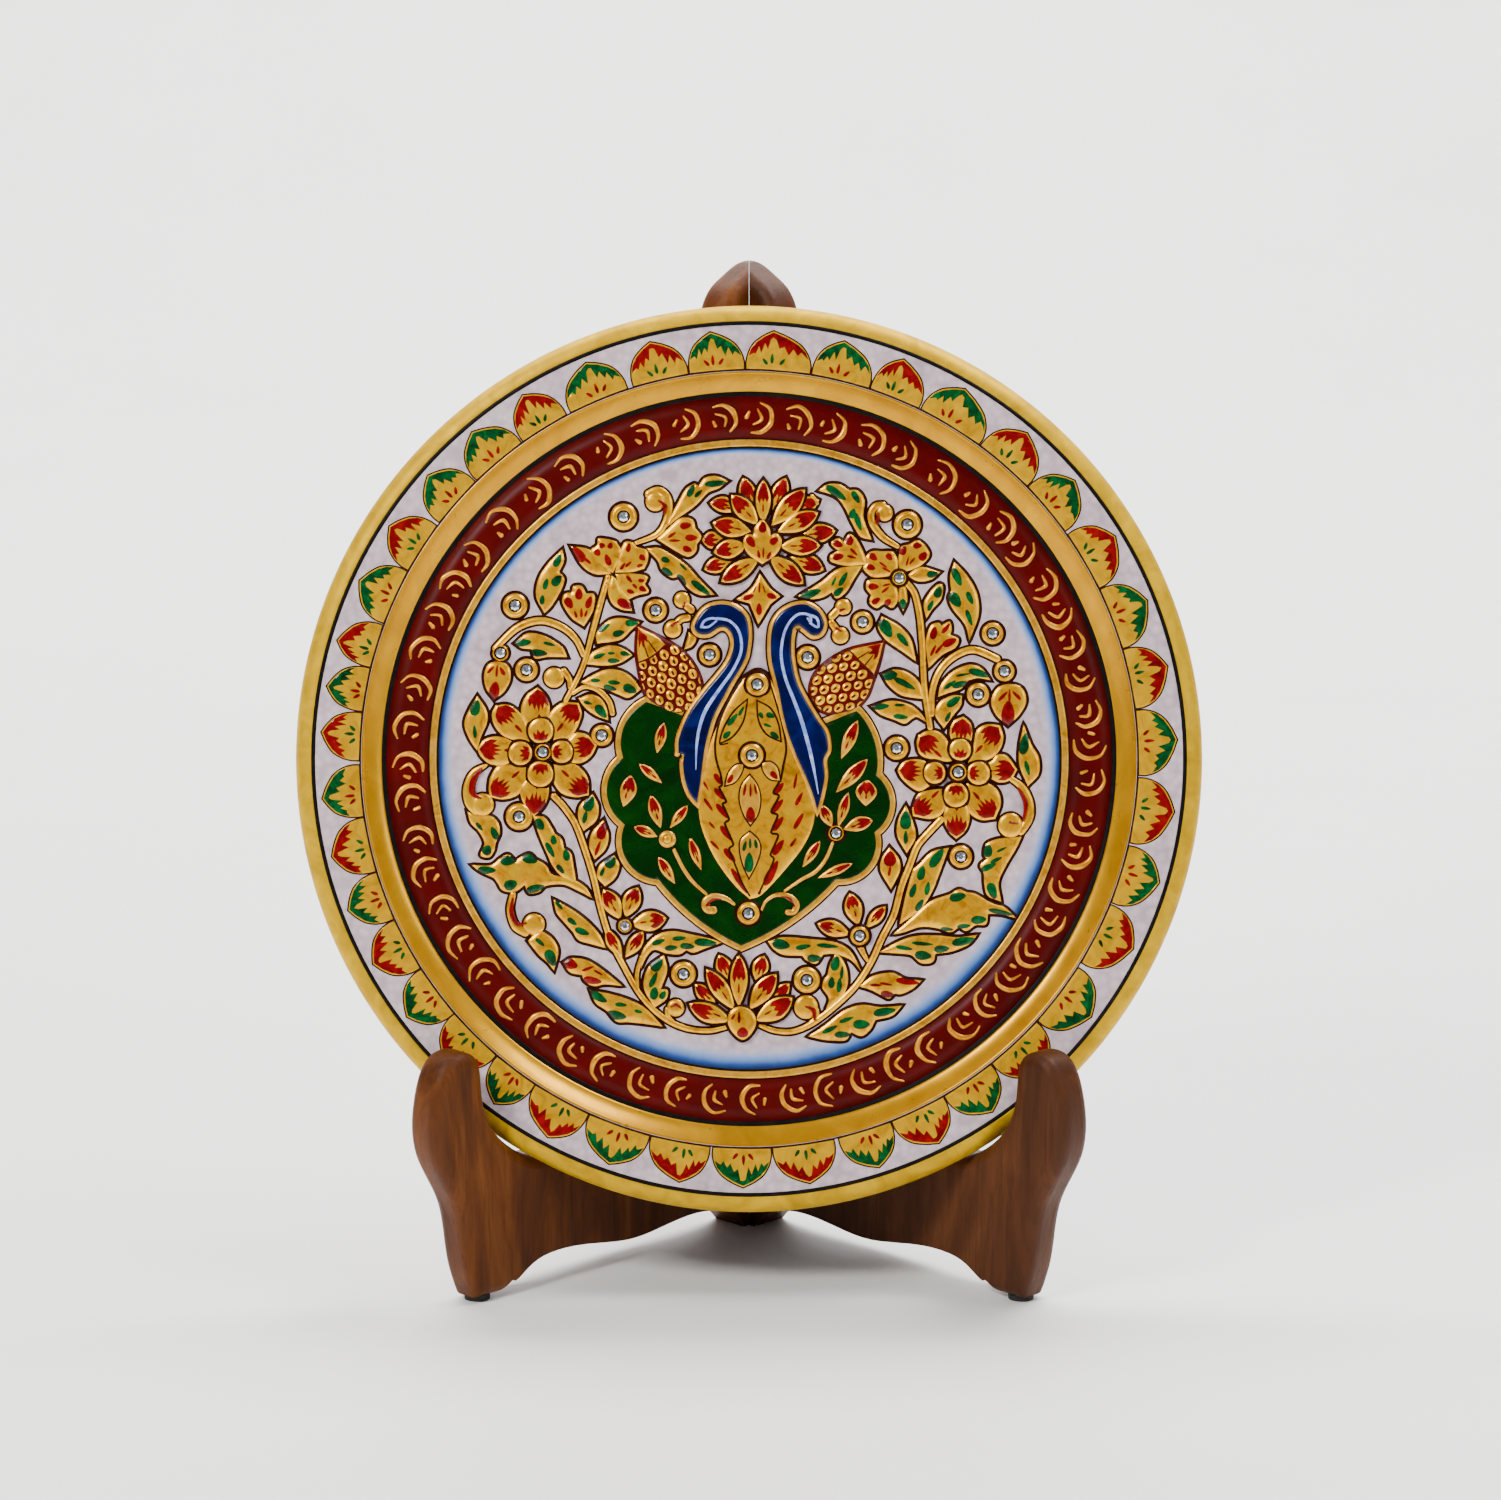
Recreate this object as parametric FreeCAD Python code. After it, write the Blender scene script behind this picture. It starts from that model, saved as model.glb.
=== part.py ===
import FreeCAD, Part
import math
import os

from FreeCAD import Placement, Rotation, Vector

# A painted marble display plate standing in a two-leaf folding wooden easel stand.
# Millimetres. +Z up, the plate faces -Y, the origin is on the floor under the middle of the set.

# --- plate -------------------------------------------------------------------------------------
PLATE_R = 127.0          # ten inches across
PLATE_LEAN = 12.0        # degrees back from upright
BASE_R = 80.0            # flat disc that the plate would rest on when laid down
FLOOR_D = 9.0            # thickness of the plate under the picture
WELL_R = 102.0           # where the flat floor meets the cove
RIM_IN_R = 108.4
RIM_OUT_R = 121.4
RIM_IN_D = 14.0
RIM_OUT_D = 15.0
# Radius and depth of points on the plate's section: back from the middle out, round the edge, in the cove.
BACK_PROFILE = [(0.0, 0.0), (BASE_R, 0.0), (82.0, 1.5), (85.0, 1.5), (118.0, 6.0), (125.2, 7.6)]
EDGE_PROFILE = [(PLATE_R, 10.2), (125.6, 12.6), (123.8, 14.2)]
COVE_MIDDLE = (104.6, 10.7)
PLATE_Z = 145.9          # height of the centre of the back
PLATE_BEHIND = 27.3      # how far the centre of the back stands in front of the hinge line

# --- raised ornament ---------------------------------------------------------------------------
BAND_RELIEF = 0.5        # scrolls on the red band
FAN_RELIEF = 0.5         # enamelled ground of the tail
STEM_RELIEF = 0.7
LEAF_RELIEF = 0.8
FLOWER_RELIEF = 0.9
BIRD_RELIEF = 1.1
COLLAR_RELIEF = 1.2
STONE_R = 1.3
STONE_RELIEF = 1.5
STONE_GAP = 0.05
BAND_MID_R = 95.6
CAP_TURN = 55.0          # crown of a scroll, degrees clockwise from outwards: two ways of facing
CUP_TURN = 108.0
SCROLL_CHORD = 9.2
SCROLL_RISE = 3.9
SCROLL_W = 1.1
HOOK_CHORD = 4.4         # the smaller crescent inside a scroll
HOOK_RISE = 1.7
HOOK_W = 1.0
HOOK_BACK = 1.2
DOT_BACK = 3.4
DOT_R = 0.7

# --- stand -------------------------------------------------------------------------------------
HINGE_Y = 34.1           # hinge line; places the middle of the outer box on the origin
LEAF_T = 12.0            # thickness of the boards
LEAF_H = 282.4
LEAF_GAP = 0.15          # each board's inner face to the hinge plane
MITRE_GAP = 0.03         # each mitre to the middle plane
OPEN_HALF = 45.0         # each leaf to the middle plane when open
EDGE_R = 3.5
PAD_H = 1.6
PAD_R = 3.6
PAD_S = 101.8

# --- hinges ------------------------------------------------------------------------------------
HINGE_L = 25.0
HINGE_ZS = {"upper": 215.0, "lower": 40.0}
BARREL_R = 2.0
BORE_R = 0.95
PIN_R = 0.9
RELIEF_R = 2.3           # wood cut away round the barrel
KNUCKLES = 5
KNUCKLE_GAP = 0.15
FLAP_T = 1.0
FLAP_REACH = 9.0
SCREW_Y = 5.6
SCREW_R = 0.9
SCREW_HEAD_R = 1.8
SCREW_L = 7.5
SCREW_INSET = 6.0

SIDES = ("left", "right")

# --- picture, in plate millimetres: x to the right, y up, from the plate's centre ----------------
# Scrolls on the band: degrees clockwise from the top, for each way of facing.
CAPS = [
    -174.5, -161.8, -148.8, -135.7, -122.7, -109.7, -96.9, -84.7, -71.8, -59.6, -46.4, -32.0,
    -17.9, -4.3, 7.9, 20.8, 34.2, 47.1, 59.1, 70.5, 82.2, 93.7, 106.3, 118.2, 129.7, 141.1, 160.0,
    172.4,
]
CUPS = [
    -168.3, -154.8, -142.5, -129.1, -116.3, -103.8, -91.3, -78.4, -65.7, -53.7, -38.9, -24.7,
    -10.8, 1.6, 13.8, 26.9, 41.1, 52.6, 64.8, 76.3, 87.6, 100.6, 112.0, 124.2, 135.4, 147.6, 153.8,
    166.2, 178.8,
]
# Stones: centre and collar radius.
STONES = [
    (-35.2, 67.9, 3.7), (-65.6, 43.0, 3.6), (-26.2, 41.7, 3.3), (-69.7, 29.7, 2.4), (-62.4, 25.0, 3.3),
    (-11.1, 29.2, 3.1), (44.4, 65.7, 3.8), (42.1, 50.7, 2.0), (31.8, 38.4, 3.1), (68.3, 35.2, 3.2),
    (71.6, 24.6, 3.0), (64.2, 18.1, 3.3), (16.4, 28.5, 3.3), (2.3, 20.7, 3.4), (-57.8, 1.9, 2.3),
    (-41.3, 6.6, 3.1), (-64.5, -16.2, 3.9), (-34.8, -46.8, 1.9), (-18.4, -60.3, 3.5), (0.8, 1.0, 3.4),
    (-0.2, -43.3, 3.3), (41.4, 3.0, 3.4), (58.6, -3.7, 2.4), (59.4, -27.4, 3.3), (31.0, -49.6, 2.7),
    (16.2, -62.0, 3.6), (24.4, -20.8, 2.2),
]
# Leaves and petals: base, tip, bulge of the left side and of the right side seen from the base.
LOTUS_TOP = [
    ((3.4, 67.3), (4.0, 78.1), 2.0, 2.0), ((3.0, 66.5), (-4.9, 73.7), 2.5, 2.5),
    ((6.5, 66.0), (15.5, 75.3), 2.6, 2.6), ((-0.8, 64.0), (-10.2, 66.0), 2.8, 2.6),
    ((8.8, 64.0), (19.3, 68.9), 2.5, 2.5), ((-1.3, 59.3), (-9.8, 58.0), 2.6, 2.6),
    ((9.3, 59.5), (19.8, 59.7), 2.6, 2.6), ((2.5, 55.8), (-7.8, 49.7), 2.4, 2.4),
    ((6.0, 56.4), (15.2, 49.1), 2.5, 2.5), ((0.5, 69.5), (-2.0, 78.4), 2.4, 2.4),
    ((7.0, 70.0), (10.4, 78.6), 2.2, 2.2), ((-4.0, 68.5), (-10.9, 71.9), 2.2, 2.6),
    ((-7.5, 61.6), (-13.2, 61.4), 2.4, 2.2), ((-5.0, 54.8), (-12.6, 53.4), 2.2, 2.0),
    ((13.0, 70.0), (19.4, 72.6), 2.2, 2.0), ((15.0, 62.0), (24.0, 64.1), 2.4, 2.4),
    ((12.0, 56.2), (20.8, 53.1), 2.4, 2.2), ((3.8, 54.8), (3.6, 66.9), 5.2, 5.2),
]
LOTUS_BOTTOM = [
    ((-2.9, -69.0), (-2.9, -55.2), 2.3, 2.3), ((-4.6, -69.3), (-11.8, -59.2), 2.3, 2.3),
    ((-5.6, -73.2), (-16.6, -68.8), 2.6, 2.4), ((-8.5, -68.5), (-15.0, -63.3), 1.8, 1.8),
    ((-4.6, -62.5), (-8.3, -55.2), 2.0, 2.0), ((0.8, -69.3), (7.5, -60.4), 2.6, 2.4),
    ((1.0, -61.5), (4.0, -55.5), 2.0, 2.0), ((2.2, -73.2), (12.0, -67.2), 2.6, 3.0),
    ((6.0, -68.0), (11.0, -63.2), 1.8, 1.8), ((-2.0, -69.6), (-1.7, -78.4), 3.6, 3.6),
]
FLOWER_LEFT = [
    ((-59.0, 8.0), (-59.3, 20.0), 4.0, 3.8), ((-54.5, 6.5), (-47.6, 15.6), 4.2, 3.8),
    ((-52.0, 2.8), (-42.8, 3.6), 3.9, 3.9), ((-55.0, -2.5), (-44.9, -10.2), 4.4, 3.6),
    ((-59.0, -5.0), (-60.3, -16.0), 4.0, 3.6), ((-62.0, -1.8), (-72.6, -10.6), 4.0, 4.4),
    ((-64.0, 2.2), (-76.1, 2.6), 3.9, 3.9), ((-62.0, 5.6), (-71.2, 14.8), 4.4, 4.2),
]
FLOWER_RIGHT = [
    ((59.2, 2.0), (60.0, 11.8), 3.2, 3.0), ((62.0, -0.5), (70.9, 9.2), 4.0, 4.2),
    ((64.0, -2.8), (75.2, -3.0), 3.8, 3.6), ((62.5, -7.5), (70.0, -16.4), 4.4, 4.0),
    ((58.2, -8.5), (58.0, -22.2), 3.6, 3.6), ((55.4, -7.5), (46.0, -15.8), 4.0, 4.0),
    ((52.5, -4.5), (41.6, -3.2), 4.2, 4.0), ((55.4, 0.4), (47.2, 6.4), 3.6, 4.0),
]
# Discs: centre and radius, the four inner petals of each large flower.
FLOWER_DISCS = {
    "left": [(-58.4, 7.9, 3.5), (-64.1, 1.6, 3.3), (-52.5, 2.0, 3.1), (-58.5, -4.2, 3.6)],
    "right": [(59.2, 2.6, 3.0), (52.0, -3.9, 3.0), (64.3, -4.0, 3.2), (58.0, -10.1, 3.4)],
}
SMALL_FLOWERS = [
    ((2.9, 51.6), (2.7, 38.0), 2.6, 2.6), ((-3.3, 44.8), (8.5, 45.4), 2.4, 2.2),
    ((-46.2, 37.3), (-48.2, 48.6), 3.4, 3.2), ((-38.6, 51.9), (-49.7, 59.5), 0.4, 4.4),
    ((-38.0, 52.2), (-40.5, 61.8), 3.2, 3.4), ((-37.6, 52.4), (-30.2, 60.0), 3.2, 2.6),
    ((-37.6, 51.6), (-28.6, 46.6), 3.0, 3.2), ((-38.4, 51.2), (-32.9, 41.6), 0.8, 3.6),
    ((-25.4, 61.8), (-14.2, 62.4), 3.4, 3.8), ((32.6, 54.9), (23.3, 59.0), 2.4, 2.8),
    ((40.8, 51.8), (32.6, 57.4), 2.6, 3.4), ((42.8, 52.8), (48.8, 60.4), 3.2, 2.8),
    ((44.3, 51.4), (53.4, 52.4), 1.4, 1.6), ((40.8, 49.6), (34.0, 43.0), 3.4, 3.0),
    ((42.4, 48.4), (43.2, 41.6), 1.2, 1.2), ((50.4, 25.8), (54.0, 38.4), 2.6, 2.4),
    ((51.0, 26.6), (58.8, 33.4), 1.8, 1.8), ((-35.8, -45.6), (-40.5, -36.9), 2.2, 2.4),
    ((-34.4, -45.0), (-31.3, -36.1), 2.4, 2.2), ((-33.0, -46.6), (-23.4, -44.7), 2.6, 2.6),
    ((-34.9, -55.4), (-30.0, -48.6), 1.6, 1.8), ((-35.4, -55.4), (-39.8, -48.0), 1.8, 1.4),
    ((30.6, -47.0), (28.4, -37.9), 2.4, 2.2), ((32.6, -47.6), (38.0, -41.6), 1.5, 1.6),
    ((28.6, -49.4), (19.5, -46.5), 2.0, 2.2), ((-70.8, 27.2), (-71.5, 16.8), 3.6, 3.4),
    ((73.4, 20.9), (72.6, 9.5), 4.6, 4.4), ((39.8, -36.3), (39.4, -25.0), 2.5, 2.5),
    ((-43.2, -28.0), (-40.9, -17.3), 2.4, 2.6),
]
FAN_SPRIGS = [
    ((-25.8, 1.6), (-23.9, 10.0), 1.4, 1.4), ((-24.4, -6.6), (-30.7, -1.6), 1.2, 1.2),
    ((-35.2, -13.2), (-33.3, -4.7), 1.8, 2.4), ((-24.8, -19.2), (-27.6, -10.4), 1.6, 1.6),
    ((-22.2, -19.2), (-17.4, -13.2), 1.3, 1.3), ((-25.9, -21.8), (-32.1, -19.2), 1.4, 1.4),
    ((-13.4, -31.0), (-16.5, -22.4), 1.3, 1.3), ((-20.8, -34.8), (-25.3, -27.7), 1.3, 1.3),
    ((25.8, 0.2), (30.3, 10.5), 1.6, 1.6), ((24.4, -9.2), (33.0, -0.3), 1.8, 1.8),
    ((32.6, -12.6), (32.9, -6.5), 2.4, 2.4), ((23.2, -18.9), (20.5, -13.2), 1.5, 1.5),
    ((25.0, -18.8), (27.7, -9.6), 1.3, 1.3), ((26.4, -19.6), (34.4, -17.4), 2.0, 1.6),
    ((15.0, -30.2), (19.8, -23.2), 1.3, 1.3), ((19.4, -33.2), (28.8, -29.4), 1.2, 1.2),
]
LEAVES = {
    "left": [
        ((-57.0, 41.0), (-52.5, 58.5), 2.8, 3.0), ((-43.0, 33.4), (-30.8, 38.3), 2.8, 1.4),
        ((-45.4, 28.2), (-32.8, 29.2), 2.8, 2.2), ((-46.8, 21.6), (-30.6, 19.2), 3.4, 2.6),
        ((-51.2, 28.6), (-65.5, 32.2), -0.6, 4.2), ((-47.6, 16.8), (-39.6, 11.0), 2.6, 1.6),
        ((-23.8, 64.6), (-6.2, 77.8), 2.8, 2.2), ((-28.6, 58.6), (-9.9, 46.2), 2.6, 2.8),
        ((-76.3, 2.6), (-76.1, 17.4), 3.2, 2.6), ((-77.6, -15.4), (-73.4, -27.4), 4.6, 0.8),
        ((-60.2, -16.8), (-48.6, -35.0), 3.4, 3.2), ((-44.4, -38.2), (-77.6, -29.6), 4.4, 5.0),
        ((-61.8, -51.0), (-54.7, -59.0), 2.8, 2.0), ((-40.6, -52.6), (-54.6, -39.6), 2.6, 2.4),
        ((-35.8, -63.4), (-51.9, -57.4), 2.0, 3.0), ((-24.6, -74.6), (-44.4, -65.0), 3.2, 2.6),
        ((-26.5, -69.6), (-24.0, -55.2), 3.0, 2.6), ((-29.6, -54.4), (-7.9, -51.5), 4.4, 0.4),
        ((-46.5, -20.0), (-43.8, -10.2), 2.6, 2.2), ((-40.4, -35.5), (-37.6, -27.2), 2.6, 2.2),
        ((-17.0, 35.4), (-18.0, 31.0), 0.9, 0.9),
    ],
    "right": [
        ((34.0, 61.8), (19.8, 75.1), -1.0, 6.2), ((31.8, 54.0), (13.8, 45.6), 2.6, 2.6),
        ((61.8, 33.4), (57.6, 55.0), 5.0, 4.4), ((50.0, 39.8), (54.2, 48.2), 1.8, 1.8),
        ((46.7, 27.6), (37.2, 39.8), 3.0, 3.2), ((49.0, 17.2), (37.5, 23.6), 2.4, 4.4),
        ((49.7, 10.4), (34.6, 14.6), 1.4, 4.4), ((53.2, 17.8), (67.5, 22.3), 5.0, 0.4),
        ((54.8, 9.0), (59.6, 17.6), 3.2, 1.8), ((78.2, -7.4), (76.9, 9.4), 2.6, 3.2),
        ((75.2, -23.4), (70.5, -39.8), 1.2, 4.4), ((44.2, -26.2), (44.0, -13.2), 2.5, 2.5),
        ((42.6, -45.8), (55.6, -25.2), 3.4, 3.0), ((39.2, -49.4), (74.2, -44.2), 7.2, 2.4),
        ((36.8, -54.2), (63.8, -49.6), 2.6, 3.4), ((31.3, -59.4), (5.5, -51.4), 0.4, 6.0),
        ((21.6, -70.3), (23.9, -55.2), 2.4, 4.2), ((31.2, -63.8), (48.2, -62.2), 3.2, 2.4),
        ((17.0, -77.4), (42.5, -69.5), 4.0, 2.8),
    ],
}
# Stems and curls: centre line and width. Curls end in a round ball, listed below.
STEMS = {
    "left": [
        ([(-39.4, 50.6), (-43.2, 38.0), (-46.4, 26.0), (-50.6, 16.2)], 1.9),
        ([(-46.4, 29.6), (-51.4, 36.0), (-58.4, 38.4), (-65.6, 36.2), (-71.2, 30.6)], 2.0),
        ([(-49.0, 18.6), (-46.0, 20.0), (-42.6, 19.2), (-39.6, 16.2), (-38.4, 12.8)], 1.3),
        ([(-54.6, -10.6), (-49.4, -17.2), (-45.8, -26.0), (-42.4, -38.6), (-38.4, -51.4), (-33.2, -62.0),
          (-26.4, -70.8), (-17.0, -76.0), (-7.2, -75.4)], 1.9),
        ([(-31.4, -64.6), (-31.2, -59.2), (-29.4, -54.4)], 1.4),
        ([(-31.0, 60.2), (-25.0, 63.6), (-22.8, 68.0), (-22.6, 72.0), (-25.4, 74.8)], 1.7),
        ([(-73.6, -2.0), (-77.6, -5.0), (-78.8, -9.0), (-77.8, -13.0)], 2.2),
        ([(-66.2, -38.0), (-66.8, -42.2), (-65.0, -46.8), (-62.6, -48.2)], 1.9),
        ([(-15.4, 41.6), (-17.2, 42.6)], 2.0),
    ],
    "right": [
        ([(44.6, 48.6), (47.4, 43.0), (48.6, 32.0), (49.4, 20.0), (50.8, 8.6)], 2.0),
        ([(51.0, 12.6), (52.0, 22.6), (56.0, 28.2), (62.4, 30.4), (69.4, 27.8)], 1.9),
        ([(54.0, -17.0), (48.4, -22.8), (45.2, -28.6), (42.4, -38.6), (38.0, -49.4), (33.4, -58.4),
          (27.2, -67.0), (20.0, -72.8), (12.0, -76.0), (3.4, -74.8)], 1.9),
        ([(41.0, 59.8), (37.0, 62.4), (34.6, 66.4), (35.0, 69.8), (37.4, 71.0)], 1.9),
        ([(73.6, -5.8), (77.0, -8.6), (78.6, -13.4), (77.8, -18.0), (75.6, -20.6)], 2.1),
    ],
}
BALLS = {
    "left": [(-26.2, 72.2, 2.7), (-54.7, 22.7, 2.8), (-74.6, -12.8, 3.1), (-60.4, -46.4, 3.1),
             (-20.6, -69.8, 2.4), (-18.8, 44.4, 2.4), (-21.2, 36.6, 2.6)],
    "right": [(38.0, 69.0, 2.3), (73.4, -18.6, 3.5), (16.0, -69.6, 3.4), (26.4, 42.4, 2.3),
              (25.6, 34.8, 2.5)],
}
# Closed smooth outlines.
FRUITS = {
    "left": [(-31.0, 36.6), (-31.3, 31.0), (-30.4, 23.6), (-28.0, 17.2), (-23.6, 14.0), (-18.2, 13.4),
             (-14.2, 17.0), (-13.4, 21.4), (-16.0, 27.0), (-21.0, 31.8), (-27.0, 35.2)],
    "right": [(37.4, 32.4), (31.7, 31.4), (25.6, 29.2), (20.0, 25.0), (17.2, 20.0), (18.4, 15.4),
              (22.6, 12.8), (28.0, 13.4), (32.8, 17.4), (35.2, 23.6), (36.8, 29.0)],
}
NECKS = {
    "left": [(-16.6, 38.4), (-13.6, 43.0), (-7.4, 44.8), (-1.0, 42.0), (1.6, 35.0), (0.8, 28.4), (-3.4, 20.8),
             (-8.4, 12.6), (-11.4, 3.4), (-13.2, -7.0), (-14.4, -12.6), (-17.8, -9.6), (-19.6, -3.0),
             (-20.4, 2.6), (-19.2, 9.8), (-14.6, 17.6), (-8.0, 25.6), (-5.6, 31.4), (-8.0, 35.4),
             (-12.6, 33.2)],
    "right": [(22.4, 38.4), (19.6, 43.0), (14.8, 44.8), (8.6, 42.8), (4.8, 36.4), (5.0, 26.4), (8.2, 13.4),
              (13.0, -0.4), (17.4, -10.4), (19.4, -14.4), (21.4, -9.0), (22.8, 1.6), (21.4, 9.8),
              (16.6, 18.4), (13.2, 26.6), (13.4, 34.8), (17.0, 33.2), (21.0, 34.8)],
}
BODY = [(1.8, 23.8), (-4.4, 17.4), (-9.8, 8.6), (-12.0, 0.6), (-14.0, -10.4), (-13.4, -19.4), (-9.4, -28.2),
        (-4.0, -35.4), (0.2, -39.2), (4.6, -36.4), (10.8, -30.0), (16.6, -21.6), (18.2, -12.6),
        (15.2, -2.6), (11.0, 7.0), (8.0, 16.0)]
# Tail fan: scallops, each an arc from notch to notch through its outermost point.
FAN_START = (-28.6, 18.0)
FAN_SCALLOPS = [
    ((-36.6, 8.8), (-37.2, 1.0)), ((-41.4, -9.4), (-36.7, -18.9)), ((-35.4, -29.6), (-26.1, -35.3)),
    ((-16.8, -44.8), (-2.0, -53.9)), ((13.4, -45.5), (24.9, -35.3)), ((34.0, -31.4), (36.8, -21.2)),
    ((40.9, -11.8), (37.4, -4.1)), ((36.2, 6.2), (30.6, 15.1)),
]
FAN_TOP = [(20.0, 10.0), (-16.0, 12.0)]


def flat(x, y):
    """A point of the picture, before the picture is laid on the plate."""
    return Vector(x, y, 0)


def wire_face(edges):
    return Part.Face(Part.Wire(edges))


def line(a, b):
    return Part.LineSegment(a, b).toShape()


def spline_through(points, start=None, end=None):
    """A smooth edge through points, with its end directions if they are given."""
    curve = Part.BSplineCurve()
    if start is None:
        curve.interpolate(Points=points)
    else:
        curve.interpolate(Points=points, InitialTangent=start, FinalTangent=end)
    return curve.toShape()


def smooth_outline(points):
    curve = Part.BSplineCurve()
    curve.interpolate(Points=[flat(*p) for p in points], PeriodicFlag=True)
    return wire_face([curve.toShape()])


def lens(base, tip, left, right):
    """A leaf or petal: two arcs from base to tip, standing left and right of the line between them."""
    a = flat(*base)
    b = flat(*tip)
    along = (b - a).normalize()
    side = Vector(-along.y, along.x, 0)
    middle = (a + b) * 0.5
    out = Part.Arc(a, middle + side * left, b).toShape()
    back = Part.Arc(b, middle - side * right, a).toShape()
    return wire_face([out, back])


def disc(x, y, radius):
    return wire_face([Part.Circle(flat(x, y), Vector(0, 0, 1), radius).toShape()])


def ribbon(points, width):
    """A stem of one width along a smooth line through points."""
    line_points = [flat(*p) for p in points]
    sides = {1: [], -1: []}
    last = len(line_points) - 1
    for i, here in enumerate(line_points):
        along = line_points[min(i + 1, last)] - line_points[max(i - 1, 0)]
        along.normalize()
        side = Vector(-along.y, along.x, 0)
        for sign in sides:
            sides[sign].append(here + side * (sign * width / 2))
    left, right = sides[1], sides[-1]
    edges = [spline_through(left), line(left[-1], right[-1]), spline_through(right), line(right[0], left[0])]
    return Part.Face(Part.Wire(Part.__sortEdges__(edges)))


def on_plate(shape):
    """Lay a shape made flat at z = 0 on the leaning plate, whose back is then z = 0."""
    turn = Rotation(Vector(1, 0, 0), 90 - PLATE_LEAN)
    shape.Placement = Placement(Vector(0, HINGE_Y - PLATE_BEHIND, PLATE_Z), turn)
    return shape


def save(name, shape):
    shape.exportStep(os.path.join("parts", name + ".step"))


def joined(shapes):
    """One shape from several that may overlap."""
    if len(shapes) == 1:
        return shapes[0]
    return shapes[0].multiFuse(shapes[1:]).removeSplitter()


def raised(faces, height):
    """Low prisms on the plate's floor."""
    prisms = []
    for face in faces:
        prism = face.extrude(Vector(0, 0, height))
        prism.translate(Vector(0, 0, FLOOR_D))
        prisms.append(prism)
    return joined(prisms)


def plate_body():
    """The turned marble plate, about its own axis."""
    def at(place):
        return Vector(place[0], 0, place[1])

    back = [at(p) for p in BACK_PROFILE]
    edge = [at(p) for p in EDGE_PROFILE]
    rim_out = Vector(RIM_OUT_R, 0, RIM_OUT_D)
    rim_in = Vector(RIM_IN_R, 0, RIM_IN_D)
    well = Vector(WELL_R, 0, FLOOR_D)
    centre = Vector(0, 0, FLOOR_D)
    sides = [line(a, b) for a, b in zip(back, back[1:])]
    sides.append(Part.Arc(back[-1], edge[0], edge[1]).toShape())
    sides.append(Part.Arc(edge[1], edge[2], rim_out).toShape())
    sides.append(line(rim_out, rim_in))
    sides.append(Part.Arc(rim_in, at(COVE_MIDDLE), well).toShape())
    sides.append(line(well, centre))
    sides.append(line(centre, back[0]))
    return wire_face(sides).revolve(Vector(0, 0, 0), Vector(0, 0, 1), 360)


def band_scrolls():
    """Round the red band: a crescent, a smaller one inside it and a dot, facing two ways."""
    faces = []
    scrolls = [(place, CAP_TURN) for place in CAPS] + [(place, CUP_TURN) for place in CUPS]
    for place, turn in scrolls:
        outward = math.radians(place)
        facing = math.radians(place + turn)
        middle = Vector(math.sin(outward), math.cos(outward), 0) * BAND_MID_R
        crown = Vector(math.sin(facing), math.cos(facing), 0)
        across = Vector(crown.y, -crown.x, 0)
        half = across * (SCROLL_CHORD / 2)
        faces.append(crescent(middle - half, middle + half, crown * SCROLL_RISE, SCROLL_W))
        inner = middle - crown * HOOK_BACK
        half = across * (HOOK_CHORD / 2)
        faces.append(crescent(inner - half, inner + half, crown * HOOK_RISE, HOOK_W))
        dot = middle - crown * DOT_BACK
        faces.append(disc(dot.x, dot.y, DOT_R))
    return raised(faces, BAND_RELIEF)


def crescent(a, b, rise, thickness):
    middle = (a + b) * 0.5
    outer = middle + rise
    inner = middle + rise * (1 - thickness / rise.Length)
    return wire_face([Part.Arc(a, outer, b).toShape(), Part.Arc(b, inner, a).toShape()])


def tail_fan():
    edges = []
    here = flat(*FAN_START)
    for crown, notch in FAN_SCALLOPS:
        end = flat(*notch)
        edges.append(Part.Arc(here, flat(*crown), end).toShape())
        here = end
    for corner in FAN_TOP + [FAN_START]:
        edges.append(line(here, flat(*corner)))
        here = flat(*corner)
    return wire_face(edges)


def stones_and_collars():
    stones = []
    collars = []
    for x, y, radius in STONES:
        stem = Part.makeCylinder(STONE_R, COLLAR_RELIEF, Vector(x, y, FLOOR_D))
        crown_z = FLOOR_D + COLLAR_RELIEF
        crown = Part.makeCone(STONE_R, STONE_R * 0.6, STONE_RELIEF - COLLAR_RELIEF, Vector(x, y, crown_z))
        stones.append(stem.fuse(crown))
        seat = Part.makeCylinder(STONE_R + STONE_GAP, COLLAR_RELIEF, Vector(x, y, FLOOR_D))
        collar = Part.makeCylinder(radius, COLLAR_RELIEF, Vector(x, y, FLOOR_D))
        collars.append(collar.cut(seat))
    return stones, collars


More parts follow.
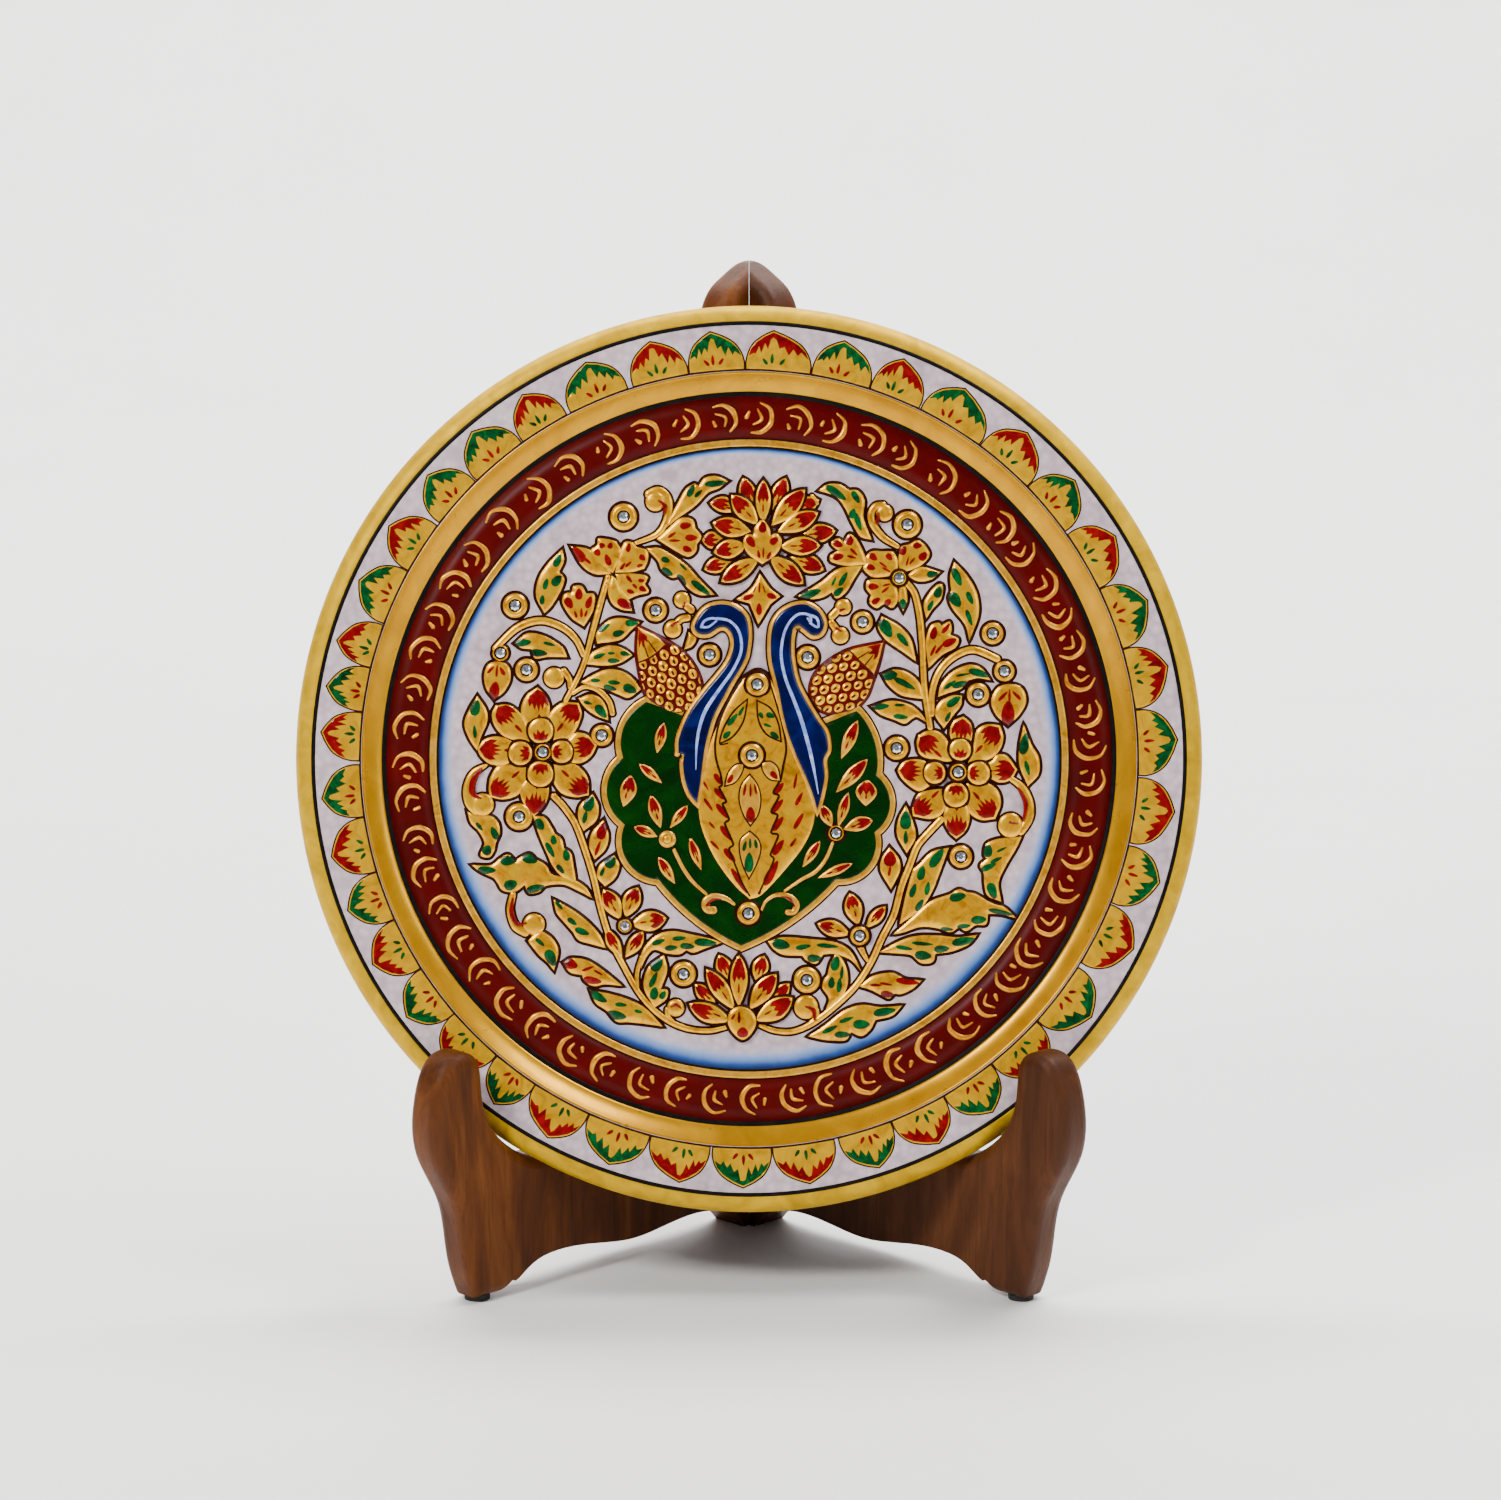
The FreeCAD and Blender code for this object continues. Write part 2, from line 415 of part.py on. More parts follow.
def write_plate():
    """The plate and every raised piece on it; each piece is cut clear of those named before it."""
    save("plate_body", on_plate(plate_body()))
    save("band_scrolls", on_plate(band_scrolls()))
    stones, collars = stones_and_collars()
    save("glass_stones", on_plate(Part.makeCompound(stones)))
    save("stone_collars", on_plate(Part.makeCompound(collars)))
    taken = [raised([disc(*stone) for stone in STONES], STONE_RELIEF)]
    pieces = [
        ("lotus_top", [lens(*p) for p in LOTUS_TOP], FLOWER_RELIEF),
        ("lotus_bottom", [lens(*p) for p in LOTUS_BOTTOM], FLOWER_RELIEF),
        ("neck_left", [smooth_outline(NECKS["left"])], BIRD_RELIEF),
        ("neck_right", [smooth_outline(NECKS["right"])], BIRD_RELIEF),
        ("bird_body", [smooth_outline(BODY)], BIRD_RELIEF),
        ("fruit_left", [smooth_outline(FRUITS["left"])], BIRD_RELIEF),
        ("fruit_right", [smooth_outline(FRUITS["right"])], BIRD_RELIEF),
        ("flower_left", [lens(*p) for p in FLOWER_LEFT] + [disc(*d) for d in FLOWER_DISCS["left"]],
         FLOWER_RELIEF),
        ("flower_right", [lens(*p) for p in FLOWER_RIGHT] + [disc(*d) for d in FLOWER_DISCS["right"]],
         FLOWER_RELIEF),
        ("small_flowers", [lens(*p) for p in SMALL_FLOWERS], FLOWER_RELIEF),
        ("fan_sprigs", [lens(*p) for p in FAN_SPRIGS] + [disc(-22.9, -22.5, 2.3)], LEAF_RELIEF),
        ("leaves_left", [lens(*p) for p in LEAVES["left"]], LEAF_RELIEF),
        ("leaves_right", [lens(*p) for p in LEAVES["right"]], LEAF_RELIEF),
        ("stems_left", [ribbon(*s) for s in STEMS["left"]] + [disc(*b) for b in BALLS["left"]],
         STEM_RELIEF),
        ("stems_right", [ribbon(*s) for s in STEMS["right"]] + [disc(*b) for b in BALLS["right"]],
         STEM_RELIEF),
        ("tail_fan", [tail_fan()], FAN_RELIEF),
    ]
    for name, faces, height in pieces:
        shape = raised(faces, height)
        for tool in taken:
            shape = shape.cut(tool)
        save(name, on_plate(shape))
        taken.append(raised(faces, STONE_RELIEF))


def board_outline():
    """The leaf seen square on: x from the hinge line towards the hook, z up."""
    def at(s, z):
        return Vector(s, 0, z)

    foot_in = at(97.0, PAD_H)
    foot_out = at(106.0, PAD_H)
    rest_low = at(57.8, 88.0)
    rest_high = at(15.2, 230.0)
    heel = at(2.0, 0.0)
    top = at(-8.0, LEAF_H)
    up = (rest_high - rest_low).normalize()
    arch = [heel, at(9.9, 6.1), at(23.3, 8.4), at(46.8, 6.4), at(66.7, 9.0), at(80.0, 9.3), at(87.5, 6.9),
            at(92.6, 4.2), foot_in]
    hook = [foot_out, at(109.7, 12.8), at(112.9, 29.5), at(120.4, 44.4), at(120.6, 62.0), at(113.2, 73.0),
            at(105.2, 71.6), at(102.8, 62.0), at(99.9, 51.5), at(91.2, 42.3), at(81.0, 38.6), at(74.2, 46.2),
            at(65.6, 65.0), rest_low]
    crest = [rest_high, at(11.6, 254.0), at(9.0, 270.5), at(5.4, 276.0), at(1.5, 278.6), at(-3.2, 281.2), top]
    back = -LEAF_T - 1.0
    return wire_face([
        line(at(back, 0), heel),
        spline_through(arch, Vector(0.6, 0, 0.8), Vector(0.7, 0, -0.7)),
        line(foot_in, foot_out),
        spline_through(hook, Vector(0.4, 0, 0.9), up),
        line(rest_low, rest_high),
        spline_through(crest, up, Vector(-1, 0, 0)),
        line(top, at(back, LEAF_H)),
        line(at(back, LEAF_H), at(back, 0)),
    ])


def is_rounded(edge):
    """True for the edges of both faces of the board, apart from the arch and the hinge side."""
    box = edge.BoundBox
    middle = edge.valueAt((edge.FirstParameter + edge.LastParameter) / 2)
    across = box.YLength < 1e-6
    hinge_side = box.XMax < -LEAF_T or (middle.x < 3 and middle.z < 1)
    arch = 20 < middle.x < 90 and middle.z < 12
    return across and not hinge_side and not arch


def board():
    """The right leaf as if it lay in the XZ plane, its inner face towards -Y."""
    slab = board_outline().extrude(Vector(0, LEAF_T - LEAF_GAP, 0))
    slab = slab.makeFillet(EDGE_R, [edge for edge in slab.Edges if is_rounded(edge)])
    slab.translate(Vector(0, LEAF_GAP, 0))
    return slab


def pad():
    return Part.makeCylinder(PAD_R, PAD_H, Vector(PAD_S, LEAF_T / 2, 0))


def open_right(shape):
    """Turn a piece of the right leaf from the XZ plane to its open place about the hinge line."""
    shape.rotate(Vector(0, 0, 0), Vector(0, 0, 1), -OPEN_HALF)
    shape.translate(Vector(0, HINGE_Y, 0))
    return shape


def sided(shape, side):
    """The piece itself on the right, its mirror image on the left."""
    return shape if side == "right" else shape.mirror(Vector(0, 0, 0), Vector(1, 0, 0))


def block(x0, x1, y0, y1, z0, z1):
    return Part.makeBox(x1 - x0, y1 - y0, z1 - z0, Vector(x0, y0 + HINGE_Y, z0))


def axis_cylinder(radius, z0, z1):
    return Part.makeCylinder(radius, z1 - z0, Vector(0, HINGE_Y, z0))


def knuckle_spans(z0, side):
    """Heights of the knuckles that belong to one flap: the left has the first, third and fifth."""
    step = HINGE_L / KNUCKLES
    first = 0 if side == "left" else 1
    return [(z0 + i * step + KNUCKLE_GAP / 2, z0 + (i + 1) * step - KNUCKLE_GAP / 2)
            for i in range(first, KNUCKLES, 2)]


def screw(z):
    """A countersunk screw through the right flap into the right leaf, along +X."""
    x0 = MITRE_GAP
    centre = Vector(x0, HINGE_Y + SCREW_Y, z)
    along = Vector(1, 0, 0)
    head = Part.makeCone(SCREW_HEAD_R, SCREW_R, FLAP_T, centre, along)
    shank = Part.makeCylinder(SCREW_R, SCREW_L, centre, along)
    return head.fuse(shank)


def screws_at(z0):
    return [screw(z0 + SCREW_INSET), screw(z0 + HINGE_L - SCREW_INSET)]


def flap(z0, side):
    """One side of a butt hinge, drawn on the right of the middle plane."""
    body = block(MITRE_GAP, MITRE_GAP + FLAP_T, RELIEF_R + 0.1, FLAP_REACH, z0, z0 + HINGE_L)
    solids = [body]
    for low, high in knuckle_spans(z0, side):
        solids.append(axis_cylinder(BARREL_R, low, high))
        solids.append(block(MITRE_GAP, MITRE_GAP + FLAP_T, 0, RELIEF_R + 0.2, low, high))
    shape = joined(solids)
    shape = shape.cut(axis_cylinder(BORE_R, z0 - 1, z0 + HINGE_L + 1))
    return shape.cut(screws_at(z0))


def leaf():
    """The right leaf in place: mitred behind, let in for the hinges, drilled for the screws."""
    wood = open_right(board())
    keep = block(MITRE_GAP, PLATE_R, -PLATE_R, PLATE_R, -1, LEAF_H + 1)
    wood = wood.common(keep)
    tools = []
    for z0 in HINGE_ZS.values():
        tools.append(axis_cylinder(RELIEF_R, z0 - 0.3, z0 + HINGE_L + 0.3))
        tools.append(block(MITRE_GAP, MITRE_GAP + FLAP_T, 0, FLAP_REACH, z0, z0 + HINGE_L))
        tools += screws_at(z0)
    return wood.cut(tools)


def write_stand():
    wood = leaf()
    foot_pad = open_right(pad())
    for side in SIDES:
        save("leaf_" + side, sided(wood, side))
        save("foot_pad_" + side, sided(foot_pad, side))
        screws = []
        for name, z0 in HINGE_ZS.items():
            save("hinge_" + name + "_" + side, sided(flap(z0, side), side))
            screws += screws_at(z0)
        save("hinge_screws_" + side, sided(Part.makeCompound(screws), side))
    for name, z0 in HINGE_ZS.items():
        save("hinge_pin_" + name, axis_cylinder(PIN_R, z0 - 0.2, z0 + HINGE_L + 0.2))


def main():
    os.makedirs("parts", exist_ok=True)
    write_stand()
    write_plate()


main()
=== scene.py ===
import math
import random

import bpy
import numpy as np
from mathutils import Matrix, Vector
from mathutils.geometry import delaunay_2d_cdt


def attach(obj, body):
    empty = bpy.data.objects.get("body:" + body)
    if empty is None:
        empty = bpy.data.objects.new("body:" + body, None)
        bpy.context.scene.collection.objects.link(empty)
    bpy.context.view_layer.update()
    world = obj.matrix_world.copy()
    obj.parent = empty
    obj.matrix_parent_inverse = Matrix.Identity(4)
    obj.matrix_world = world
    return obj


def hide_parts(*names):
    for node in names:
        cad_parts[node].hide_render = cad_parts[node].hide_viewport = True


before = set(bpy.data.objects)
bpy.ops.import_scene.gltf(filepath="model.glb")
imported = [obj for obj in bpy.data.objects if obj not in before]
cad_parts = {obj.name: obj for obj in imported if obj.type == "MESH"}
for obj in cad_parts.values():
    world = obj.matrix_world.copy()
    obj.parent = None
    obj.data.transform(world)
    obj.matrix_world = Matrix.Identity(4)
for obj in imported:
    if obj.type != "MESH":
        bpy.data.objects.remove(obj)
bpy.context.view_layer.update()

# The picture is drawn in plate millimetres: x to the right, y up, d out of the plate's front, with the
# origin at the centre of the plate's back. on_plate() carries a point from there to the frame, in metres.
MM = 0.001
LEAN = math.radians(12.0)
PLATE_AT = (0.0, 6.8, 145.9)
PLATE_R = 127.0
FLOOR_D = 9.0
WELL_R = 102.0
RIM_IN_R = 108.4
RIM_OUT_R = 121.4
RIM_IN_D = 14.0
RIM_OUT_D = 15.0
LINE = 0.85              # width of the outline round a motif: paint, widened by painted shade at its foot
STEP = 0.55              # spacing of points along an outline
SINK = 0.12              # how far a motif reaches into the marble


def on_plate(x, y, d):
    up_y, up_z = math.sin(LEAN), math.cos(LEAN)
    out_y, out_z = -math.cos(LEAN), math.sin(LEAN)
    return (
        (PLATE_AT[0] + x) * MM,
        (PLATE_AT[1] + y * up_y + d * out_y) * MM,
        (PLATE_AT[2] + y * up_z + d * out_z) * MM,
    )


# --- materials ---------------------------------------------------------------------------------
MATERIALS = {}


def shader(name):
    """A new material with its node tree, its Principled shader and object coordinates."""
    m = bpy.data.materials.new(name)
    m.use_nodes = True
    tree = m.node_tree
    principled = tree.nodes["Principled BSDF"]
    coordinates = tree.nodes.new("ShaderNodeTexCoord")
    MATERIALS[name] = m
    return m, tree, principled, coordinates.outputs["Object"]


def noise(tree, vector, scale, detail=4.0, rough=0.55, distortion=0.0):
    n = tree.nodes.new("ShaderNodeTexNoise")
    n.inputs["Scale"].default_value = scale
    n.inputs["Detail"].default_value = detail
    n.inputs["Roughness"].default_value = rough
    n.inputs["Distortion"].default_value = distortion
    tree.links.new(vector, n.inputs["Vector"])
    return n.outputs["Fac"]


def ramp(tree, value, stops):
    """A colour ramp through (position, colour) stops."""
    r = tree.nodes.new("ShaderNodeValToRGB")
    elements = r.color_ramp.elements
    while len(elements) < len(stops):
        elements.new(0.5)
    for element, (position, colour) in zip(elements, stops):
        element.position = position
        element.color = (*colour, 1.0)
    tree.links.new(value, r.inputs["Fac"])
    return r.outputs["Color"]


def mix(tree, factor, a, b):
    m = tree.nodes.new("ShaderNodeMix")
    m.data_type = "RGBA"
    tree.links.new(factor, m.inputs["Factor"])
    for socket, value in ((m.inputs[6], a), (m.inputs[7], b)):
        if isinstance(value, tuple):
            socket.default_value = (*value, 1.0)
        else:
            tree.links.new(value, socket)
    return m.outputs[2]


def scaled(tree, vector, scale):
    m = tree.nodes.new("ShaderNodeMapping")
    m.inputs["Scale"].default_value = scale
    tree.links.new(vector, m.inputs["Vector"])
    return m.outputs["Vector"]


def bump(tree, principled, height, strength, distance):
    b = tree.nodes.new("ShaderNodeBump")
    b.inputs["Strength"].default_value = strength
    b.inputs["Distance"].default_value = distance
    tree.links.new(height, b.inputs["Height"])
    tree.links.new(b.outputs["Normal"], principled.inputs["Normal"])


def value_ramp(tree, value, low, high):
    """value from 0..1 to low..high, for roughness."""
    m = tree.nodes.new("ShaderNodeMapRange")
    m.inputs["To Min"].default_value = low
    m.inputs["To Max"].default_value = high
    tree.links.new(value, m.inputs["Value"])
    return m.outputs["Result"]


def enamel(name, dark, middle, light, metallic=0.0, rough=(0.28, 0.42), shine=0.2, coat=0.0, grain=260.0):
    """Hand-brushed paint or leaf: three tones in soft streaks, a little relief from the brush."""
    m, tree, principled, place = shader(name)
    streaks = noise(tree, place, grain, 3.0, 0.6, 1.2)
    tone = ramp(tree, streaks, [(0.28, dark), (0.5, middle), (0.74, light)])
    tree.links.new(tone, principled.inputs["Base Color"])
    wear = noise(tree, place, grain * 3.0, 4.0)
    tree.links.new(value_ramp(tree, wear, *rough), principled.inputs["Roughness"])
    principled.inputs["Metallic"].default_value = metallic
    principled.inputs["Coat Weight"].default_value = coat
    principled.inputs["Coat Roughness"].default_value = 0.12
    principled.inputs["Specular IOR Level"].default_value = shine
    bump(tree, principled, wear, 0.25, 0.0002)
    return m


def marble(name, glow=False):
    """White marble with a faint lilac grain of crystals; glow adds the blue wash round the picture."""
    m, tree, principled, place = shader(name)
    clouds = noise(tree, place, 55.0, 5.0, 0.62, 0.6)
    base = ramp(tree, clouds, [(0.3, (0.41, 0.30, 0.345)), (0.52, (0.51, 0.375, 0.42)),
                               (0.75, (0.64, 0.505, 0.54))])
    crystals = tree.nodes.new("ShaderNodeTexVoronoi")
    crystals.inputs["Scale"].default_value = 420.0
    tree.links.new(place, crystals.inputs["Vector"])
    speck = ramp(tree, crystals.outputs["Distance"], [(0.0, (0.94, 0.86, 0.88)), (0.8, (0.36, 0.30, 0.35))])
    fine = noise(tree, place, 700.0, 3.0)
    weight = value_ramp(tree, fine, 0.10, 0.60)
    base = mix(tree, weight, base, speck)
    if glow:
        wash = tree.nodes.new("ShaderNodeAttribute")
        wash.attribute_name = "wash"
        brushed = noise(tree, place, 120.0, 3.0, 0.6, 0.5)
        uneven = tree.nodes.new("ShaderNodeMath")
        uneven.operation = "MULTIPLY_ADD"
        tree.links.new(brushed, uneven.inputs[0])
        uneven.inputs[1].default_value = 0.22
        tree.links.new(wash.outputs["Fac"], uneven.inputs[2])
        depth = tree.nodes.new("ShaderNodeMapRange")
        depth.inputs["From Min"].default_value = 0.12
        depth.inputs["From Max"].default_value = 1.02
        tree.links.new(uneven.outputs[0], depth.inputs["Value"])
        blues = ramp(tree, depth.outputs["Result"],
                     [(0.0, (0.55, 0.55, 0.66)), (0.45, (0.20, 0.32, 0.62)), (0.8, (0.012, 0.07, 0.30)),
                      (1.0, (0.003, 0.012, 0.08))])
        cover = ramp(tree, depth.outputs["Result"], [(0.0, (0, 0, 0)), (0.42, (1, 1, 1))])
        base = mix(tree, cover, base, blues)
    tree.links.new(base, principled.inputs["Base Color"])
    tree.links.new(value_ramp(tree, fine, 0.26, 0.44), principled.inputs["Roughness"])
    principled.inputs["Subsurface Weight"].default_value = 0.08
    principled.inputs["Subsurface Radius"].default_value = (0.004, 0.003, 0.003)
    bump(tree, principled, crystals.outputs["Distance"], 0.12, 0.0002)
    return m


def wood(name, dark, middle, light):
    """Oiled rosewood: long grain up the board, fine dark pores and paler blotches."""
    m, tree, principled, place = shader(name)
    long_grain = scaled(tree, place, (42.0, 42.0, 9.0))
    grain = noise(tree, long_grain, 1.0, 6.0, 0.65, 1.6)
    base = ramp(tree, grain, [(0.30, dark), (0.50, middle), (0.72, light)])
    pores = noise(tree, scaled(tree, place, (900.0, 900.0, 26.0)), 1.0, 3.0, 0.7)
    base = mix(tree, ramp(tree, pores, [(0.55, (0, 0, 0)), (0.75, (0.55, 0.55, 0.55))]), base, dark)
    blotches = noise(tree, place, 18.0, 3.0)
    base = mix(tree, ramp(tree, blotches, [(0.45, (0, 0, 0)), (0.8, (0.35, 0.35, 0.35))]), base, light)
    tree.links.new(base, principled.inputs["Base Color"])
    tree.links.new(value_ramp(tree, pores, 0.40, 0.62), principled.inputs["Roughness"])
    principled.inputs["Specular IOR Level"].default_value = 0.16
    bump(tree, principled, pores, 0.35, 0.0003)
    return m


def glass_stone(name):
    """Foil-backed cut glass: silvery, with a blue-grey tint in its facets."""
    m, tree, principled, place = shader(name)
    tint = ramp(tree, noise(tree, place, 900.0, 2.0),
                [(0.35, (0.30, 0.36, 0.48)), (0.55, (0.78, 0.82, 0.88)), (0.7, (0.98, 0.98, 1.0))])
    tree.links.new(tint, principled.inputs["Base Color"])
    principled.inputs["Metallic"].default_value = 0.85
    principled.inputs["Roughness"].default_value = 0.08
    principled.inputs["Coat Weight"].default_value = 1.0
    return m


def plain(name, dark, light, rough, metallic=0.0, grain=400.0):
    """Two tones in a fine speckle."""
    m, tree, principled, place = shader(name)
    speckle = noise(tree, place, grain)
    tree.links.new(ramp(tree, speckle, [(0.35, dark), (0.65, light)]), principled.inputs["Base Color"])
    tree.links.new(value_ramp(tree, speckle, rough - 0.08, rough + 0.08), principled.inputs["Roughness"])
    principled.inputs["Metallic"].default_value = metallic
    bump(tree, principled, speckle, 0.2, 0.0001)
    return m


def make_materials():
    enamel("gold", (0.55, 0.21, 0.0), (0.95, 0.43, 0.0), (1.0, 0.60, 0.002), 0.7, (0.24, 0.38), 0.1, 0.08)
    enamel("pale_gold", (0.50, 0.21, 0.006), (0.76, 0.36, 0.02), (0.92, 0.48, 0.06), 0.6, (0.26, 0.38), 0.1,
           0.08)
    enamel("rim_gold", (0.52, 0.25, 0.0), (0.72, 0.37, 0.0), (0.86, 0.48, 0.0), 0.5, (0.30, 0.42), 0.1,
           0.05, 180.0)
    enamel("cove_gold", (0.46, 0.21, 0.0), (0.56, 0.265, 0.0), (0.66, 0.33, 0.0), 0.5, (0.24, 0.34), 0.1,
           0.05, 60.0)
    enamel("edge_gold", (0.42, 0.235, 0.0), (0.54, 0.315, 0.0), (0.68, 0.41, 0.0), 0.3, (0.42, 0.55), 0.05,
           0.0, 110.0)
    enamel("scroll_gold", (0.50, 0.17, 0.003), (0.80, 0.32, 0.012), (0.95, 0.46, 0.04), 0.6, (0.26, 0.38),
           0.1, 0.05)
    enamel("red", (0.09, 0.0, 0.0), (0.17, 0.0, 0.0), (0.28, 0.0, 0.0), 0.0, (0.20, 0.32), 0.2, 0.15)
    enamel("green", (0.0, 0.014, 0.003), (0.0, 0.050, 0.010), (0.001, 0.12, 0.022), 0.0, (0.20, 0.32), 0.2,
           0.15)
    enamel("fan_green", (0.0, 0.010, 0.0), (0.0, 0.020, 0.0), (0.001, 0.034, 0.0), 0.0, (0.16, 0.28), 0.2,
           0.15, 70.0)
    enamel("navy", (0.0, 0.001, 0.022), (0.0, 0.002, 0.050), (0.001, 0.009, 0.11), 0.0, (0.16, 0.28), 0.2,
           0.15, 90.0)
    enamel("light_blue", (0.12, 0.18, 0.55), (0.26, 0.34, 0.75), (0.50, 0.58, 0.95), 0.0, (0.25, 0.4))
    enamel("umber", (0.010, 0.0008, 0.0), (0.020, 0.002, 0.0), (0.040, 0.005, 0.001), 0.0, (0.35, 0.55), 0.08)
    enamel("lattice_red", (0.040, 0.0, 0.0), (0.075, 0.001, 0.0), (0.14, 0.002, 0.0), 0.0, (0.25, 0.4), 0.15)
    enamel("band_red", (0.050, 0.0, 0.0), (0.072, 0.0, 0.0), (0.095, 0.0, 0.0), 0.0, (0.34, 0.46), 0.1, 0.0,
           50.0)
    enamel("line_black", (0.002, 0.001, 0.001), (0.004, 0.003, 0.003), (0.010, 0.006, 0.004), 0.0,
           (0.35, 0.55), 0.08)
    marble("marble")
    marble("marble_wash", glow=True)
    # One wood for both boards: the left copy is lighter as painted light and the right copy darker as painted
    # shade, for how the light falls on each board.
    wood("wood_left_painted_light", (0.030, 0.006, 0.0), (0.086, 0.022, 0.002), (0.18, 0.056, 0.008))
    wood("wood_right_painted_shade", (0.018, 0.004, 0.0005), (0.052, 0.014, 0.003), (0.11, 0.036, 0.010))
    glass_stone("cut_glass")
    plain("brass", (0.42, 0.24, 0.06), (0.62, 0.40, 0.13), 0.34, 0.9)
    plain("steel", (0.42, 0.41, 0.40), (0.62, 0.61, 0.59), 0.32, 0.9)
    plain("pad", (0.008, 0.007, 0.006), (0.022, 0.018, 0.016), 0.75)
    plain("studio_floor", (0.80, 0.79, 0.78), (0.83, 0.82, 0.81), 0.6, 0.0, 6.0)


# --- drawing -----------------------------------------------------------------------------------
def smooth(points, closed=True):
    """A smooth line through points, about STEP apart. A point with a third value is a corner."""
    places = [np.array(p[:2], float) for p in points]
    corner = [len(p) > 2 for p in points]
    count = len(places)
    spans = count if closed else count - 1
    result = []
    for i in range(spans):
        j = (i + 1) % count
        a, b = places[i], places[j]
        before = places[i - 1] if (closed or i > 0) else a
        after = places[(j + 1) % count] if (closed or j + 1 < count) else b
        chord = np.linalg.norm(b - a)
        lean_a = (b - a) if corner[i] else (b - before) / 2
        lean_b = (b - a) if corner[j] else (after - a) / 2
        lean_a = lean_a * min(1.0, chord / max(np.linalg.norm(lean_a), 1e-9))
        lean_b = lean_b * min(1.0, chord / max(np.linalg.norm(lean_b), 1e-9))
        steps = max(2, int(math.ceil(chord / STEP)))
        for k in range(steps):
            t = k / steps
            h1 = 2 * t**3 - 3 * t**2 + 1
            h2 = t**3 - 2 * t**2 + t
            h3 = -2 * t**3 + 3 * t**2
            h4 = t**3 - t**2
            result.append(h1 * a + h2 * lean_a + h3 * b + h4 * lean_b)
    if not closed:
        result.append(places[-1])
    return np.array(result)


def area(line):
    x, y = line[:, 0], line[:, 1]
    return 0.5 * float(np.sum(x * np.roll(y, -1) - np.roll(x, -1) * y))


def turned_left(line):
    """The closed line in anticlockwise order."""
    return line if area(line) > 0 else line[::-1]


def offset(line, distance):
    """A closed anticlockwise line moved outwards."""
    back = line - np.roll(line, 1, axis=0)
    ahead = np.roll(line, -1, axis=0) - line
    normals = []
    for v in (back, ahead):
        n = np.stack([v[:, 1], -v[:, 0]], axis=1)
        normals.append(n / np.maximum(np.linalg.norm(n, axis=1, keepdims=True), 1e-9))
    total = normals[0] + normals[1]
    length = np.maximum(np.linalg.norm(total, axis=1, keepdims=True), 1e-9)
    unit = total / length
    stretch = np.minimum(2.0 / length, 1.8)
    return line + unit * stretch * distance


def distance_to(points, line):
    """How far each point is from a closed line."""
    a = line[None, :, :]
    b = np.roll(line, -1, axis=0)[None, :, :]
    p = points[:, None, :]
    ab = b - a
    t = np.clip(np.sum((p - a) * ab, axis=2) / np.maximum(np.sum(ab * ab, axis=2), 1e-12), 0, 1)
    near = a + ab * t[:, :, None]
    return np.sqrt(np.min(np.sum((p - near) ** 2, axis=2), axis=1))


def inside(points, line):
    """True for each point within a closed line."""
    x, y = points[:, 0][:, None], points[:, 1][:, None]
    x0, y0 = line[:, 0][None, :], line[:, 1][None, :]
    nxt = np.roll(line, -1, axis=0)
    x1, y1 = nxt[:, 0][None, :], nxt[:, 1][None, :]
    straddles = (y0 > y) != (y1 > y)
    cut = (x1 - x0) * (y - y0) / np.where(np.abs(y1 - y0) < 1e-12, 1e-12, y1 - y0) + x0
    return np.sum(straddles & (x < cut), axis=1) % 2 == 1


def ground(x, y):
    """Depth of the plate's front at a point: floor inside, conical rim outside."""
    r = math.hypot(x, y)
    if r <= WELL_R:
        return FLOOR_D
    return RIM_IN_D + (r - RIM_IN_R) * (RIM_OUT_D - RIM_IN_D) / (RIM_OUT_R - RIM_IN_R)


class Piece:
    """One mesh in the making, with its own list of materials."""

    def __init__(self, name, slot_name, replaces=()):
        self.name = name
        self.slot_name = slot_name
        self.replaces = replaces
        self.points = []
        self.faces = []
        self.slots = []
        self.materials = []

    def slot_of(self, material):
        if material not in self.materials:
            self.materials.append(material)
        return self.materials.index(material)

    def add(self, points, faces, materials):
        """points in plate millimetres (x, y, d); one material name per face."""
        start = len(self.points)
        self.points += [on_plate(*p) for p in points]
        self.faces += [tuple(start + i for i in f) for f in faces]
        self.slots += [self.slot_of(m) for m in materials]

    def finish(self, body="plate", flat=False):
        mesh = bpy.data.meshes.new(self.name)
        mesh.from_pydata(self.points, [], self.faces)
        for m in self.materials:
            mesh.materials.append(MATERIALS[m])
        mesh.polygons.foreach_set("material_index", self.slots)
        mesh.polygons.foreach_set("use_smooth", [not flat] * len(self.faces))
        mesh.update()
        piece = bpy.data.objects.new(self.name, mesh)
        bpy.context.scene.collection.objects.link(piece)
        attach(piece, body)
        if self.replaces:
            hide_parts(*self.replaces)
        return piece


